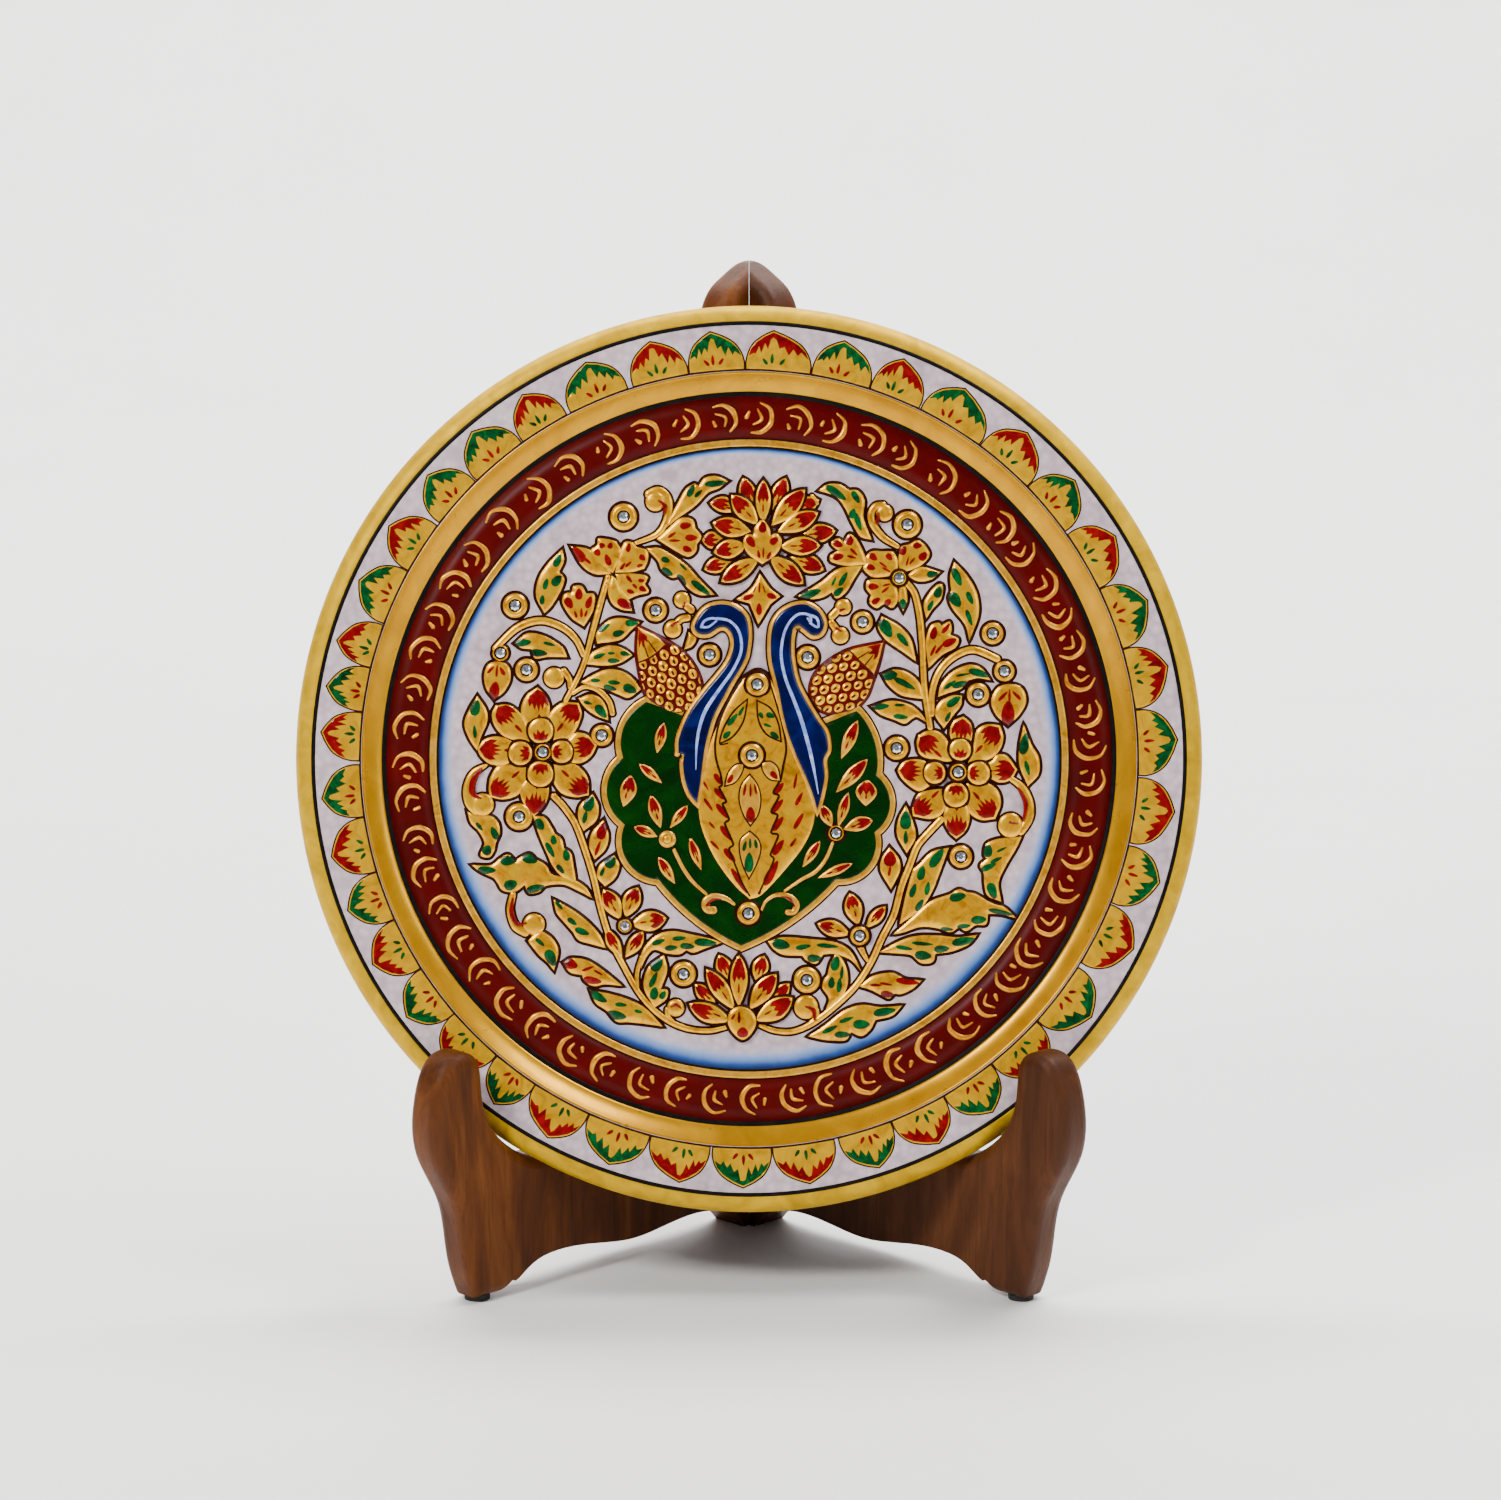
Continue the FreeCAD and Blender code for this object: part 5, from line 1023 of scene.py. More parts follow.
BODY_LINES = [
    ([(-2.2, 22.0), (-5.7, 16.3), (-8.0, 11.2), (-9.4, 5.5), (-9.4, 1.0), (-8.6, -2.4), (-8.0, -4.2),
      (-7.6, -7.4), (-8.4, -7.9), (-6.4, -12.0), (-7.4, -12.6), (-5.6, -17.0), (-6.8, -18.0), (-4.4, -24.0),
      (-5.6, -25.2), (-3.6, -30.4), (-2.0, -34.6), (0.2, -38.4)], [0.5, 0.7, 0.7, 0.5]),
    ([(6.0, 20.8), (7.9, 14.6), (9.6, 8.3), (10.4, 2.7), (9.6, -1.9), (8.8, -5.8), (6.8, -9.4),
      (8.4, -10.4), (6.2, -14.8), (8.0, -15.8), (6.2, -20.6), (8.2, -21.4), (6.0, -26.8), (7.0, -28.0),
      (5.0, -32.8), (2.8, -37.6)],
      [0.5, 0.7, 0.7, 0.5]),
    ([(-6.0, 4.4), (-8.2, 4.3), (-7.2, 8.4), (-4.4, 13.2), (-0.4, 16.8)], [0.5, 0.6, 0.45]),
    ([(-8.2, 4.3), (-4.6, 6.2), (-1.6, 10.6), (-0.4, 16.8)], [0.5, 0.6, 0.45]),
    ([(2.2, 16.4), (2.6, 11.0), (4.8, 7.0), (9.0, 4.8)], [0.45, 0.6, 0.5]),
    ([(2.2, 16.4), (6.0, 14.2), (8.2, 10.0), (9.0, 4.8)], [0.45, 0.6, 0.5]),
]
BODY_RED = [
    (-8.8, -5.6, 3.6, 1.5, -58), (-8.4, -9.8, 4.2, 1.5, -50), (-7.6, -14.6, 5.2, 1.6, -52),
    (-6.4, -20.8, 5.2, 1.8, -52), (-5.4, -27.0, 5.0, 1.8, -50), (-2.8, -34.2, 8.6, 1.5, -58),
    (-12.2, -7.4, 3.4, 0.7, -60), (-11.4, -12.8, 4.4, 1.0, -55), (-10.4, -18.6, 2.6, 0.7, -50),
    (-9.6, -24.2, 3.6, 0.9, -45), (8.4, -8.2, 4.0, 1.7, 50), (7.9, -13.2, 5.0, 1.8, 48),
    (8.0, -18.2, 5.0, 2.0, 52), (8.2, -24.8, 5.2, 2.0, 55), (6.2, -32.0, 8.0, 2.4, 62),
    (13.0, -6.2, 4.6, 0.8, 80), (14.0, -11.2, 4.2, 1.2, 62), (13.9, -17.4, 5.2, 1.4, 60),
    (12.4, -23.4, 3.0, 0.9, 55), (3.0, -37.4, 1.6, 0.8, 62),
]
FAN_START = (-28.8, 17.6)
FAN_SCALLOPS = [
    ((-36.8, 8.8), (-37.0, 0.8)), ((-41.4, -9.4), (-36.6, -18.9)), ((-35.2, -29.9), (-26.1, -35.3)),
    ((-16.8, -44.9), (-2.2, -54.0)), ((13.4, -45.5), (24.9, -35.3)), ((34.0, -31.6), (36.8, -21.2)),
    ((41.0, -11.8), (37.3, -4.1)), ((36.4, 6.2), (30.6, 15.2)),
]
FAN_TOP = [(20.0, 11.0), (8.0, 2.0), (-14.0, 12.0)]
FAN_BORDER = 1.25
SEED = 7


# Stones that sit on top of other ornament: how far above the marble.
STONE_LIFTS = {(2.3, 20.9): 1.2, (0.8, 1.0): 1.3, (24.4, -20.8): 0.6, (-0.2, -43.3): 0.6, (-57.8, 1.9): 1.1,
               (58.6, -3.7): 1.1, (42.1, 50.7): 0.7, (-34.8, -46.8): 0.7, (31.0, -49.6): 0.6}


def gem_pieces():
    """Gold collars with a dark foot line of paint and painted shade, and the cut stones set in them."""
    collars = Piece("stone_collars_gold", "gold_relief", ["stone_collars"])
    gems = Piece("cut_stones", "set_glass", ["glass_stones"])
    for x, y, radius in STONES:
        lift = STONE_LIFTS.get((x, y), 0.0)
        ring = [(radius + LINE, -SINK - lift), (radius + LINE, 0.06), (radius, 0.20), (radius - 0.3, 0.80),
                ((radius + STONE_R) / 2, 1.10), (STONE_R + 0.4, 0.85), (STONE_R + 0.02, 0.75),
                (STONE_R, -SINK - lift)]
        paints = ["umber", "umber", "gold", "gold", "gold", "umber", "umber", "umber"]
        add_turned(collars, x, y, ring, 36, paints, lift)
        add_gem(gems, x, y, lift)
    collars.finish()
    gems.finish(flat=True)


def add_turned(piece, x, y, profile, segments, paints, lift):
    points = []
    for r, d in profile:
        for k in range(segments):
            t = 2 * math.pi * k / segments
            points.append((x + r * math.cos(t), y + r * math.sin(t), FLOOR_D + lift + d))
    faces = []
    materials = []
    for i in range(len(profile)):
        j = (i + 1) % len(profile)
        for k in range(segments):
            n = (k + 1) % segments
            faces.append((i * segments + k, j * segments + k, j * segments + n, i * segments + n)[::-1])
            materials.append(paints[i])
    piece.add(points, faces, materials)


def add_gem(piece, x, y, lift):
    """A brilliant: an eight-sided table, star and main facets, girdle and a flat foil back."""
    rings = [(STONE_R, 0.0, 0.0), (STONE_R, 0.0, 0.85), (STONE_R * 0.82, 0.5, 1.12),
             (STONE_R * 0.52, 0.0, 1.32)]
    sides = 8
    points = []
    for radius, turn, d in rings:
        for k in range(sides):
            t = 2 * math.pi * (k + turn) / sides
            points.append((x + radius * math.cos(t), y + radius * math.sin(t), FLOOR_D + lift + d))
    faces = []
    for i in range(len(rings) - 1):
        for k in range(sides):
            n = (k + 1) % sides
            a, b, c, d = i * sides + k, i * sides + n, (i + 1) * sides + n, (i + 1) * sides + k
            if rings[i][1] == rings[i + 1][1]:
                faces.append((a, b, c, d))
            elif rings[i + 1][1]:
                faces += [(a, b, d), (b, c, d)]
            else:
                faces += [(a, b, c), (a, c, d)]
    faces.append(tuple(range(sides))[::-1])
    faces.append(tuple(3 * sides + k for k in range(sides)))
    piece.add(points, faces, ["cut_glass"] * len(faces))


def lotus(name, node, back, front, rng):
    piece = Piece(name, "gold_relief", [node])
    for base, tip, left, right in back:
        petal(piece, base, tip, left, right, rng, share=0.5, strokes=1, height=0.75)
    for base, tip, left, right in front:
        petal(piece, base, tip, left, right, rng, share=0.42, strokes=1, height=0.8, lift=0.6, rise=0.42)
    return piece


def lotuses(rng):
    top = lotus("lotus_top_petals", "lotus_top", LOTUS_TOP_BACK, LOTUS_TOP_FRONT, rng)
    dabs = [(3.8, 64.9, 3.2, 2.2, 90), (0.5, 60.8, 3.6, 2.2, -55), (7.0, 61.1, 2.8, 2.0, 40),
            (2.7, 57.4, 2.4, 0.9, 100), (4.0, 57.8, 3.2, 0.6, 88), (5.6, 57.0, 2.4, 1.0, 65)]
    zones = [(spot(x, y, l, w, math.radians(a)), "red") for x, y, l, w, a in dabs]
    motif(top, smooth(LOTUS_TOP_CORE), "gold", zones, 0.9, 0.95)
    top.finish()
    bottom = lotus("lotus_bottom_petals", "lotus_bottom", LOTUS_BOTTOM_BACK, LOTUS_BOTTOM_FRONT, rng)
    drop = [(-2.8, -69.4), (-5.2, -70.8), (-6.0, -73.4), (-4.8, -76.4), (-1.8, -78.7), (1.0, -76.4),
            (2.0, -73.2), (0.4, -70.4)]
    dabs = [(-1.8, -76.6, 3.0, 3.2, 90), (-2.8, -72.4, 3.4, 0.9, 90), (-4.4, -72.2, 2.0, 0.7, 60)]
    zones = [(spot(x, y, l, w, math.radians(a)), "red") for x, y, l, w, a in dabs]
    motif(bottom, smooth(drop), "gold", zones, 0.9, 0.95)
    bottom.finish()


def big_flower(name, node, outlines, discs, centre):
    """Eight full petals, each with a red tip, and four round ones whose red lies at the middle."""
    piece = Piece(name, "gold_relief", [node])
    for outline in outlines:
        line = smooth(outline)
        tip = next(np.array(p[:2], float) for p in outline if len(p) > 2)
        inward = np.array(centre, float) - tip
        reach = np.linalg.norm(inward)
        inward /= reach
        across = np.array([-inward[1], inward[0]])
        near = tip + inward * 1.0
        fan = [(0.0, 0.0), (1.4, 2.2), (3.0, 2.9), (5.0, 2.7), (3.8, 1.7), (6.0, 1.1), (4.2, 0.5),
               (6.6, 0.0), (4.2, -0.6), (5.8, -1.2), (3.8, -1.8), (4.8, -2.7), (3.0, -2.9), (1.4, -2.2)]
        zone = [near + inward * (u - 0.4) + across * v for u, v in fan]
        angle = math.atan2(inward[1], inward[0])
        dash = tip + inward * (reach * 0.50)
        zones = [(np.array(zone), "red"), (spot(dash[0], dash[1], 3.0, 0.9, angle), "red")]
        motif(piece, line, "gold", zones, 0.85)
    for x, y, radius, towards in discs:
        a = math.radians(towards)
        c, s = math.cos(a), math.sin(a)
        fan = [(0.80, 0.0), (0.68, 0.50), (0.16, 0.66), (0.34, 0.34), (-0.10, 0.30), (0.20, 0.0),
               (-0.14, -0.26), (0.32, -0.32), (0.10, -0.64), (0.68, -0.52)]
        zone = np.array([(x + radius * (u * c - v * s), y + radius * (u * s + v * c)) for u, v in fan])
        motif(piece, round_line(x, y, radius), "gold", [(zone, "red")], 0.95, 0.6, rise=0.5)
    piece.finish()


def spotted(side, shapes, node):
    """Each spotted leaf, bud and tulip is a piece of its own; the first also stands for the node."""
    for number, (paint, outline, spots) in enumerate(shapes):
        piece = Piece(f"sprig_{side}_{number:02d}", "gold_relief", [node] if number == 0 else [])
        zones = [(spot(x, y, l * 1.15, w * 1.25, math.radians(a)), paint) for x, y, l, w, a in spots]
        motif(piece, smooth(outline), "gold", zones, 0.85)
        piece.finish()


def stems(side, strokes, balls):
    piece = Piece("vine_" + side, "gold_relief", ["stems_" + side])
    for points, widths in strokes:
        motif(piece, stroke(points, widths), "gold", (), 0.7, border=0.6)
    for x, y, radius in balls:
        motif(piece, round_line(x, y, radius), "gold", (), 0.95, 0.12, border=0.6)
    piece.finish()


def crescents():
    """Red-brown shadows painted in the curl of each scroll."""
    piece = Piece("scroll_shadows", "gold_relief")
    for points, widths in CRESCENTS:
        motif(piece, stroke(points, widths), "red", (), 1.24, border=0.0, rise=1.14)
    piece.finish()


def small_flowers(rng):
    piece = Piece("small_flower_petals", "gold_relief", ["small_flowers"])
    for base, tip, left, right, share in STONE_PETALS:
        petal(piece, base, tip, left, right, rng, share=share, strokes=1, height=0.85)
    diamond = [(3.1, 51.9, 1), (0.6, 47.8), (-3.5, 44.7, 1), (0.2, 43.6, 1), (2.6, 37.8, 1), (5.9, 43.4, 1),
               (8.7, 45.6, 1), (6.0, 47.8)]
    dabs = [(-0.2, 45.4, 3.4, 1.6, 20), (6.4, 45.6, 3.0, 1.6, -20), (2.8, 42.0, 3.4, 1.6, 90),
            (2.9, 48.0, 3.0, 0.6, 88), (1.6, 47.6, 2.2, 0.5, 70), (4.2, 47.6, 2.2, 0.5, 110)]
    zones = [(spot(x, y, l, w, math.radians(a)), "red") for x, y, l, w, a in dabs]
    motif(piece, smooth(diamond), "gold", zones, 0.9)
    piece.finish()


def arc_through(a, b, c, count=26):
    """Points on the circle from a through b to c."""
    (ax, ay), (bx, by), (cx, cy) = a, b, c
    scale = 2 * (ax * (by - cy) + bx * (cy - ay) + cx * (ay - by))
    sa, sb, sc = ax * ax + ay * ay, bx * bx + by * by, cx * cx + cy * cy
    ux = (sa * (by - cy) + sb * (cy - ay) + sc * (ay - by)) / scale
    uy = (sa * (cx - bx) + sb * (ax - cx) + sc * (bx - ax)) / scale
    radius = math.hypot(ax - ux, ay - uy)
    start = math.atan2(ay - uy, ax - ux)
    middle = math.atan2(by - uy, bx - ux)
    end = math.atan2(cy - uy, cx - ux)
    turn = (end - start) % (2 * math.pi)
    if (middle - start) % (2 * math.pi) > turn:
        turn -= 2 * math.pi
    return [(ux + radius * math.cos(start + turn * k / count), uy
             + radius * math.sin(start + turn * k / count))
            for k in range(count)]


def tail_fan(rng):
    line = []
    here = FAN_START
    for crown, notch in FAN_SCALLOPS:
        line += arc_through(here, crown, notch)
        here = notch
    line += [here] + FAN_TOP
    line = turned_left(np.array(line))
    gold = Piece("tail_fan_border", "gold_relief")
    motif(gold, line, "pale_gold", (), 0.5, border=0.5, roundness=0.8)
    gold.finish()
    green = Piece("tail_fan_ground", "green_enamel", ["tail_fan"])
    motif(green, offset(line, -FAN_BORDER - 0.25), "fan_green", (), 0.58, border=0.3, edge="line_black",
          rise=0.52, roundness=0.6, lift=0.0)
    green.finish()
    sprigs = Piece("fan_sprig_leaves", "gold_relief", ["fan_sprigs"])
    for base, tip, left, right in FAN_SPRIGS:
        petal(sprigs, base, tip, left, right, rng, share=0.45, strokes=1, height=0.7, lift=0.52,
              border=0.25, edge="line_black", fill="pale_gold")
    for points, widths in [
        ([(-21.0, -25.6), (-18.6, -30.4), (-15.8, -34.4), (-12.0, -37.9)], [1.0, 1.1, 0.8]),
        ([(23.4, -23.6), (21.4, -28.2), (18.6, -31.6), (14.7, -33.8), (10.0, -37.0)], [0.9, 1.1, 0.8]),
    ]:
        motif(sprigs, stroke(points, widths), "pale_gold", (), 0.7, 0.52, border=0.25, edge="line_black")
    for points, widths, dab, dab_widths in [
        ([(-4.2, -40.7), (-6.4, -39.2), (-9.4, -38.6), (-12.0, -39.8), (-11.8, -42.0), (-10.0, -42.4)],
         [0.8, 1.4, 2.2, 2.4, 2.2], [(-7.8, -39.3), (-10.2, -39.6), (-11.8, -41.0)], [0.3, 1.1, 0.8]),
        ([(3.6, -42.2), (4.6, -40.0), (7.4, -38.2), (10.6, -38.4), (13.2, -40.4), (12.6, -42.8),
          (10.8, -43.0)],
         [0.7, 0.9, 1.2, 1.8, 1.8, 1.6], [(9.0, -38.5), (11.4, -39.2), (12.6, -41.2)], [0.2, 0.8, 0.6]),
    ]:
        motif(sprigs, stroke(points, widths), "pale_gold", [(stroke(dab, dab_widths), "red")], 0.7, 0.52,
              border=0.25, edge="line_black")
    motif(sprigs, round_line(-22.9, -22.5, 2.4), "pale_gold", (), 0.9, 0.52, border=0.3, edge="line_black")
    motif(sprigs, round_line(-22.9, -22.5, 1.1), "gold", (), 0.5, 1.25, border=0.2)
    sprigs.finish()


def bird():
    """The shared gold body with its painted drops, and the two navy necks in gold borders."""
    body = Piece("bird_body_gold", "gold_relief", ["bird_body"])
    zones = [(spot(x, y, l, w, math.radians(a)), "red") for x, y, l, w, a in BODY_RED]
    zones += [(stroke(points, widths), "umber") for points, widths in BODY_LINES]
    for x, y, l, w, a in [(-4.6, 11.0, 4.4, 1.5, 50), (-2.2, 13.4, 3.0, 1.0, 62), (-6.2, 6.8, 2.8, 1.6, 45),
                          (3.4, 12.2, 2.0, 1.2, -60), (6.0, 12.2, 2.6, 1.6, -20), (5.2, 9.4, 2.4, 0.9, -20),
                          (7.2, 6.6, 3.0, 1.5, -35)]:
        zones.append((spot(x, y, l, w, math.radians(a)), "green"))
    motif(body, smooth(BODY), "gold", zones, 1.0, 0.3, roundness=4.0)
    body.finish()
    drops = Piece("body_drops", "gold_relief")
    for outline, paint, dabs in [
        ([(0.2, -4.6, 1), (-2.0, -7.4), (-2.6, -11.4), (-1.4, -15.6), (0.4, -18.4, 1), (2.4, -15.4),
          (3.1, -11.2), (2.2, -7.4)],
         "red", [(0.4, -15.6, 4.4, 2.6, 90), (-1.2, -8.6, 3.6, 0.8, 80), (0.4, -8.8, 3.8, 0.7, 90),
                 (1.8, -8.4, 3.2, 0.7, 100)]),
        ([(0.2, -20.5, 1), (-2.2, -22.6), (-2.5, -25.6), (-1.6, -29.6), (0.0, -33.2, 1), (2.0, -29.2),
          (3.1, -25.4), (2.4, -22.6)],
         "green", [(0.0, -29.0, 5.6, 2.6, 88), (-1.2, -24.4, 3.0, 1.1, 75), (1.9, -23.8, 2.6, 1.0, 100),
                   (0.3, -23.6, 3.0, 0.8, 90)]),
        ([(-1.8, -1.6), (-3.8, -1.8), (-5.8, -4.2), (-6.6, -7.4, 1), (-4.0, -6.4), (-2.2, -3.8)], "red",
         [(-5.2, -5.6, 2.8, 1.3, 60)]),
        ([(3.8, -1.4), (6.0, -0.9), (7.9, -2.6), (8.6, -6.0, 1), (6.0, -5.6), (4.2, -3.6)], "red",
         [(7.0, -4.6, 2.8, 1.6, -50)]),
    ]:
        zones = [(spot(x, y, l, w, math.radians(a)), paint) for x, y, l, w, a in dabs]
        motif(drops, smooth(outline), "pale_gold", zones, 0.6, 1.2, border=0.6)
    drops.finish()
    for side, outline in (("left", NECK_LEFT), ("right", NECK_RIGHT)):
        line = turned_left(smooth(outline))
        border = Piece("neck_border_" + side, "gold_relief")
        motif(border, offset(line, 1.0), "pale_gold", (), 0.95, 0.45, border=0.5, roundness=0.9)
        border.finish()
        neck = Piece("neck_enamel_" + side, "navy_enamel", ["neck_" + side])
        on_left = side == "left"
        lines = NECK_LINES[:3] if on_left else NECK_LINES[3:]
        zones = [(stroke(points, widths), "light_blue") for points, widths in lines]
        motif(neck, line, "navy", zones, 1.4, 0.35, border=0.25, edge="line_black", rise=1.05, roundness=2.0)
        neck.finish()


def fruit_scales(along, start, reach_end, rng):
    """Rows of overlapping scales over the whole fruit, as puffed zones with a red dab on each."""
    across = np.array([-along[1], along[0]])
    angle = math.atan2(along[1], along[0])
    zones = []
    dabs = []
    for row in range(8):
        reach = start + row * 2.75
        for k in range(-4, 5):
            sway = k * 3.3 + (1.65 if row % 2 else 0.0)
            x, y = reach_end + along * reach + across * sway
            size = rng.uniform(0.86, 1.04)
            scale = [(-1.5, 0.0), (-1.0, 0.85), (0.0, 1.22), (0.95, 0.95), (1.4, 0.3), (1.4, -0.3),
                     (0.95, -0.95), (0.0, -1.22), (-1.0, -0.85)]
            c, s = math.cos(angle), math.sin(angle)
            zones.append((smooth([(x + size * (u * c - v * s), y + size * (u * s + v * c)) for u,
                                  v in scale]), "gold", 0.32))
            dabs.append((spot(x + along[0] * 0.3, y + along[1] * 0.3, 1.5, rng.uniform(0.5, 0.9), angle),
                         "lattice_red"))
    return zones + dabs


def fruits(rng):
    for side, outline, tip, along, start, cap, cap_dab, seam in [
        ("left", FRUIT_LEFT, (-31.0, 36.9), (0.42, -0.9), 10.0,
         [(-31.0, 36.9, 1), (-31.4, 31.0), (-30.9, 26.6, 1), (-27.0, 28.8), (-23.4, 32.0, 1), (-26.8, 35.0)],
         [(-30.9, 36.4), (-31.1, 33.6), (-30.8, 31.0), (-30.2, 33.0), (-29.6, 30.8), (-29.2, 33.2),
          (-28.4, 32.6), (-28.6, 34.4)],
         [(-30.9, 27.0), (-27.0, 28.8), (-23.6, 31.8)]),
        ("right", FRUIT_RIGHT, (37.5, 32.5), (-0.78, -0.62), 10.0,
         [(37.5, 32.5, 1), (31.7, 31.4), (27.9, 30.6, 1), (30.8, 27.6), (34.9, 23.6, 1), (36.6, 28.4)],
         [(37.1, 32.3), (35.2, 32.0), (33.0, 31.4), (34.6, 30.6), (33.2, 29.4), (35.2, 29.4), (34.8, 27.6),
          (36.0, 28.6)],
         [(28.2, 30.4), (30.8, 27.6), (34.7, 23.9)]),
    ]:
        direction = np.array(along, float) / np.linalg.norm(along)
        zones = fruit_scales(direction, start, np.array(tip, float), rng)
        zones.append((smooth(cap), "gold", 0.2))
        zones.append((np.array(cap_dab), "red"))
        for share in (0.35, 0.65):
            a = np.array(seam[0]) * (1 - share) + np.array(seam[2]) * share
            b = a + (np.array(tip) - a) * 0.45
            zones.append((stroke([tuple(a), tuple((a + b) / 2), tuple(b)], [0.5, 0.3]), "lattice_red"))
        zones.append((stroke(seam, [0.5, 0.6, 0.5]), "lattice_red"))
        piece = Piece("fruit_scales_" + side, "gold_relief", ["fruit_" + side])
        motif(piece, smooth(outline), "lattice_red", zones, 0.9, 0.1, border=0.9, edge="lattice_red",
              roundness=3.5)
        piece.finish()


# Scrolls round the red band: degrees clockwise from the top, and which of the two turns.
SCROLLS = [
    (-174.5, "cap"), (-168.3, "cup"), (-161.8, "cap"), (-154.8, "cup"), (-148.8, "cap"), (-142.5, "cup"),
    (-135.7, "cap"), (-129.1, "cup"), (-122.7, "cap"), (-116.3, "cup"), (-109.7, "cap"), (-103.8, "cup"),
    (-96.9, "cap"), (-91.3, "cup"), (-84.7, "cap"), (-78.4, "cup"), (-71.8, "cap"), (-65.7, "cup"),
    (-59.6, "cap"), (-53.7, "cup"), (-46.4, "cap"), (-38.9, "cup"), (-32.0, "cap"), (-24.7, "cup"),
    (-17.9, "cap"), (-10.8, "cup"), (-4.3, "cap"), (1.6, "cup"), (7.9, "cap"), (13.8, "cup"), (20.8, "cap"),
    (26.9, "cup"), (34.2, "cap"), (41.1, "cup"), (47.1, "cap"), (52.6, "cup"), (59.1, "cap"), (64.8, "cup"),
    (70.5, "cap"), (76.3, "cup"), (82.2, "cap"), (87.6, "cup"), (93.7, "cap"), (100.6, "cup"), (106.3, "cap"),
    (112.0, "cup"), (118.2, "cap"), (124.2, "cup"), (129.7, "cap"), (135.4, "cup"), (141.1, "cap"),
    (147.6, "cup"), (153.8, "cup"), (160.0, "cap"), (166.2, "cup"), (172.4, "cap"), (178.8, "cup"),
]
# The figure as strokes: points across it and towards its crown, then widths. Its crown turns from the
# outward direction, clockwise, by one of two angles.
SCROLL_STROKES = [
    ([(-4.5, -0.5), (-3.4, 2.5), (0.0, 4.0), (3.3, 2.6), (4.4, -0.2)], [0.5, 1.1, 1.5, 1.3, 0.6]),
    ([(-2.3, -0.8), (0.0, 1.1), (2.2, -0.6)], [0.5, 1.1, 0.6]),
    ([(-0.7, -2.7), (0.6, -2.9)], [0.8, 1.2]),
]
SCROLL_TURN = {"cap": 55.0, "cup": 108.0}
BAND_MID_R = 95.6


def band_scrolls():
    """Raised gold scrolls round the red band, each a little different from the next."""
    piece = Piece("band_scroll_gold", "gold_relief", ["band_scrolls"])
    rng = random.Random(SEED + 1)
    for degrees, kind in SCROLLS:
        place = math.radians(degrees + rng.uniform(-0.2, 0.2))
        facing = place + math.radians(SCROLL_TURN[kind] + rng.uniform(-6.0, 6.0))
        middle = np.array([math.sin(place), math.cos(place)]) * BAND_MID_R
        crown = np.array([math.sin(facing), math.cos(facing)])
        across = np.array([crown[1], -crown[0]])
        size = rng.uniform(0.92, 1.04)
        for points, widths in SCROLL_STROKES:
            path = [tuple(middle + across * (u * size + rng.uniform(-0.2, 0.2))
                          + crown * (v * size + rng.uniform(-0.2, 0.2)))
                    for u, v in points]
            wide = [w * rng.uniform(0.85, 1.15) for w in widths]
            motif(piece, stroke(path, wide), "scroll_gold", (), 0.5, border=0.0, rise=0.08, roundness=0.6)
    piece.finish()


# --- the plate ---------------------------------------------------------------------------------
SEGMENTS = 224


def cove(r):
    """Depth of the hollow slope between the floor and the rim."""
    t = (r - WELL_R) / (RIM_IN_R - WELL_R)
    return FLOOR_D + (RIM_IN_D - FLOOR_D) * (0.35 * t + 0.65 * t * t)


def front_depth(r):
    if r <= WELL_R:
        return FLOOR_D
    if r <= RIM_IN_R:
        return cove(r)
    if r <= RIM_OUT_R:
        return RIM_IN_D + (r - RIM_IN_R) * (RIM_OUT_D - RIM_IN_D) / (RIM_OUT_R - RIM_IN_R)
    t = (r - RIM_OUT_R) / (PLATE_R - RIM_OUT_R)
    return RIM_OUT_D - 4.8 * (1 - math.sqrt(max(0.0, 1 - t ** 2.4)))


def ring(name, low, high, paint, proud, steps=4):
    """A thin coat of paint between two radii, standing proud of the plate by a hair."""
    radii = [low + (high - low) * k / steps for k in range(steps + 1)]
    top = [(r, front_depth(r) + proud) for r in radii]
    under = [(r, front_depth(r) - 0.08) for r in reversed(radii)]
    piece = Piece(name, "gold_relief" if "gold" in paint else "marble")
    lathe(piece, under + top, SEGMENTS, [paint] * len(top + under))
    return piece.finish()


# Rings painted on the plate, from the edge inwards: name, inner and outer radius, material, lift, spans.
RINGS = [
    ("edge_band", 122.1, 126.9, "edge_gold", 0.05, 8),
    ("edge_line", 121.2, 122.3, "line_black", 0.07, 2),
    ("rim_foot_line", 108.2, 108.9, "umber", 0.07, 2),
    ("cove_ring", 102.8, 108.35, "cove_gold", 0.05, 8),
    ("band_outer_line", 101.7, 103.0, "line_black", 0.08, 3),
    ("red_band", 89.7, 102.0, "band_red", 0.05, 3),
    ("band_inner_line", 89.3, 90.0, "line_black", 0.07, 1),
    ("inner_gold_ring", 87.7, 89.6, "pale_gold", 0.25, 4),
    ("inner_line", 87.1, 87.9, "line_black", 0.07, 1),
]
# The blue wash round the picture: radius where it is full, radius where it starts to show at the top of
# the plate, how much further in it starts at the bottom, and how steeply it grows.
WASH_FULL_R = 87.2
WASH_START_R = 84.6
WASH_DROOP = 5.0
WASH_CURVE = 1.5


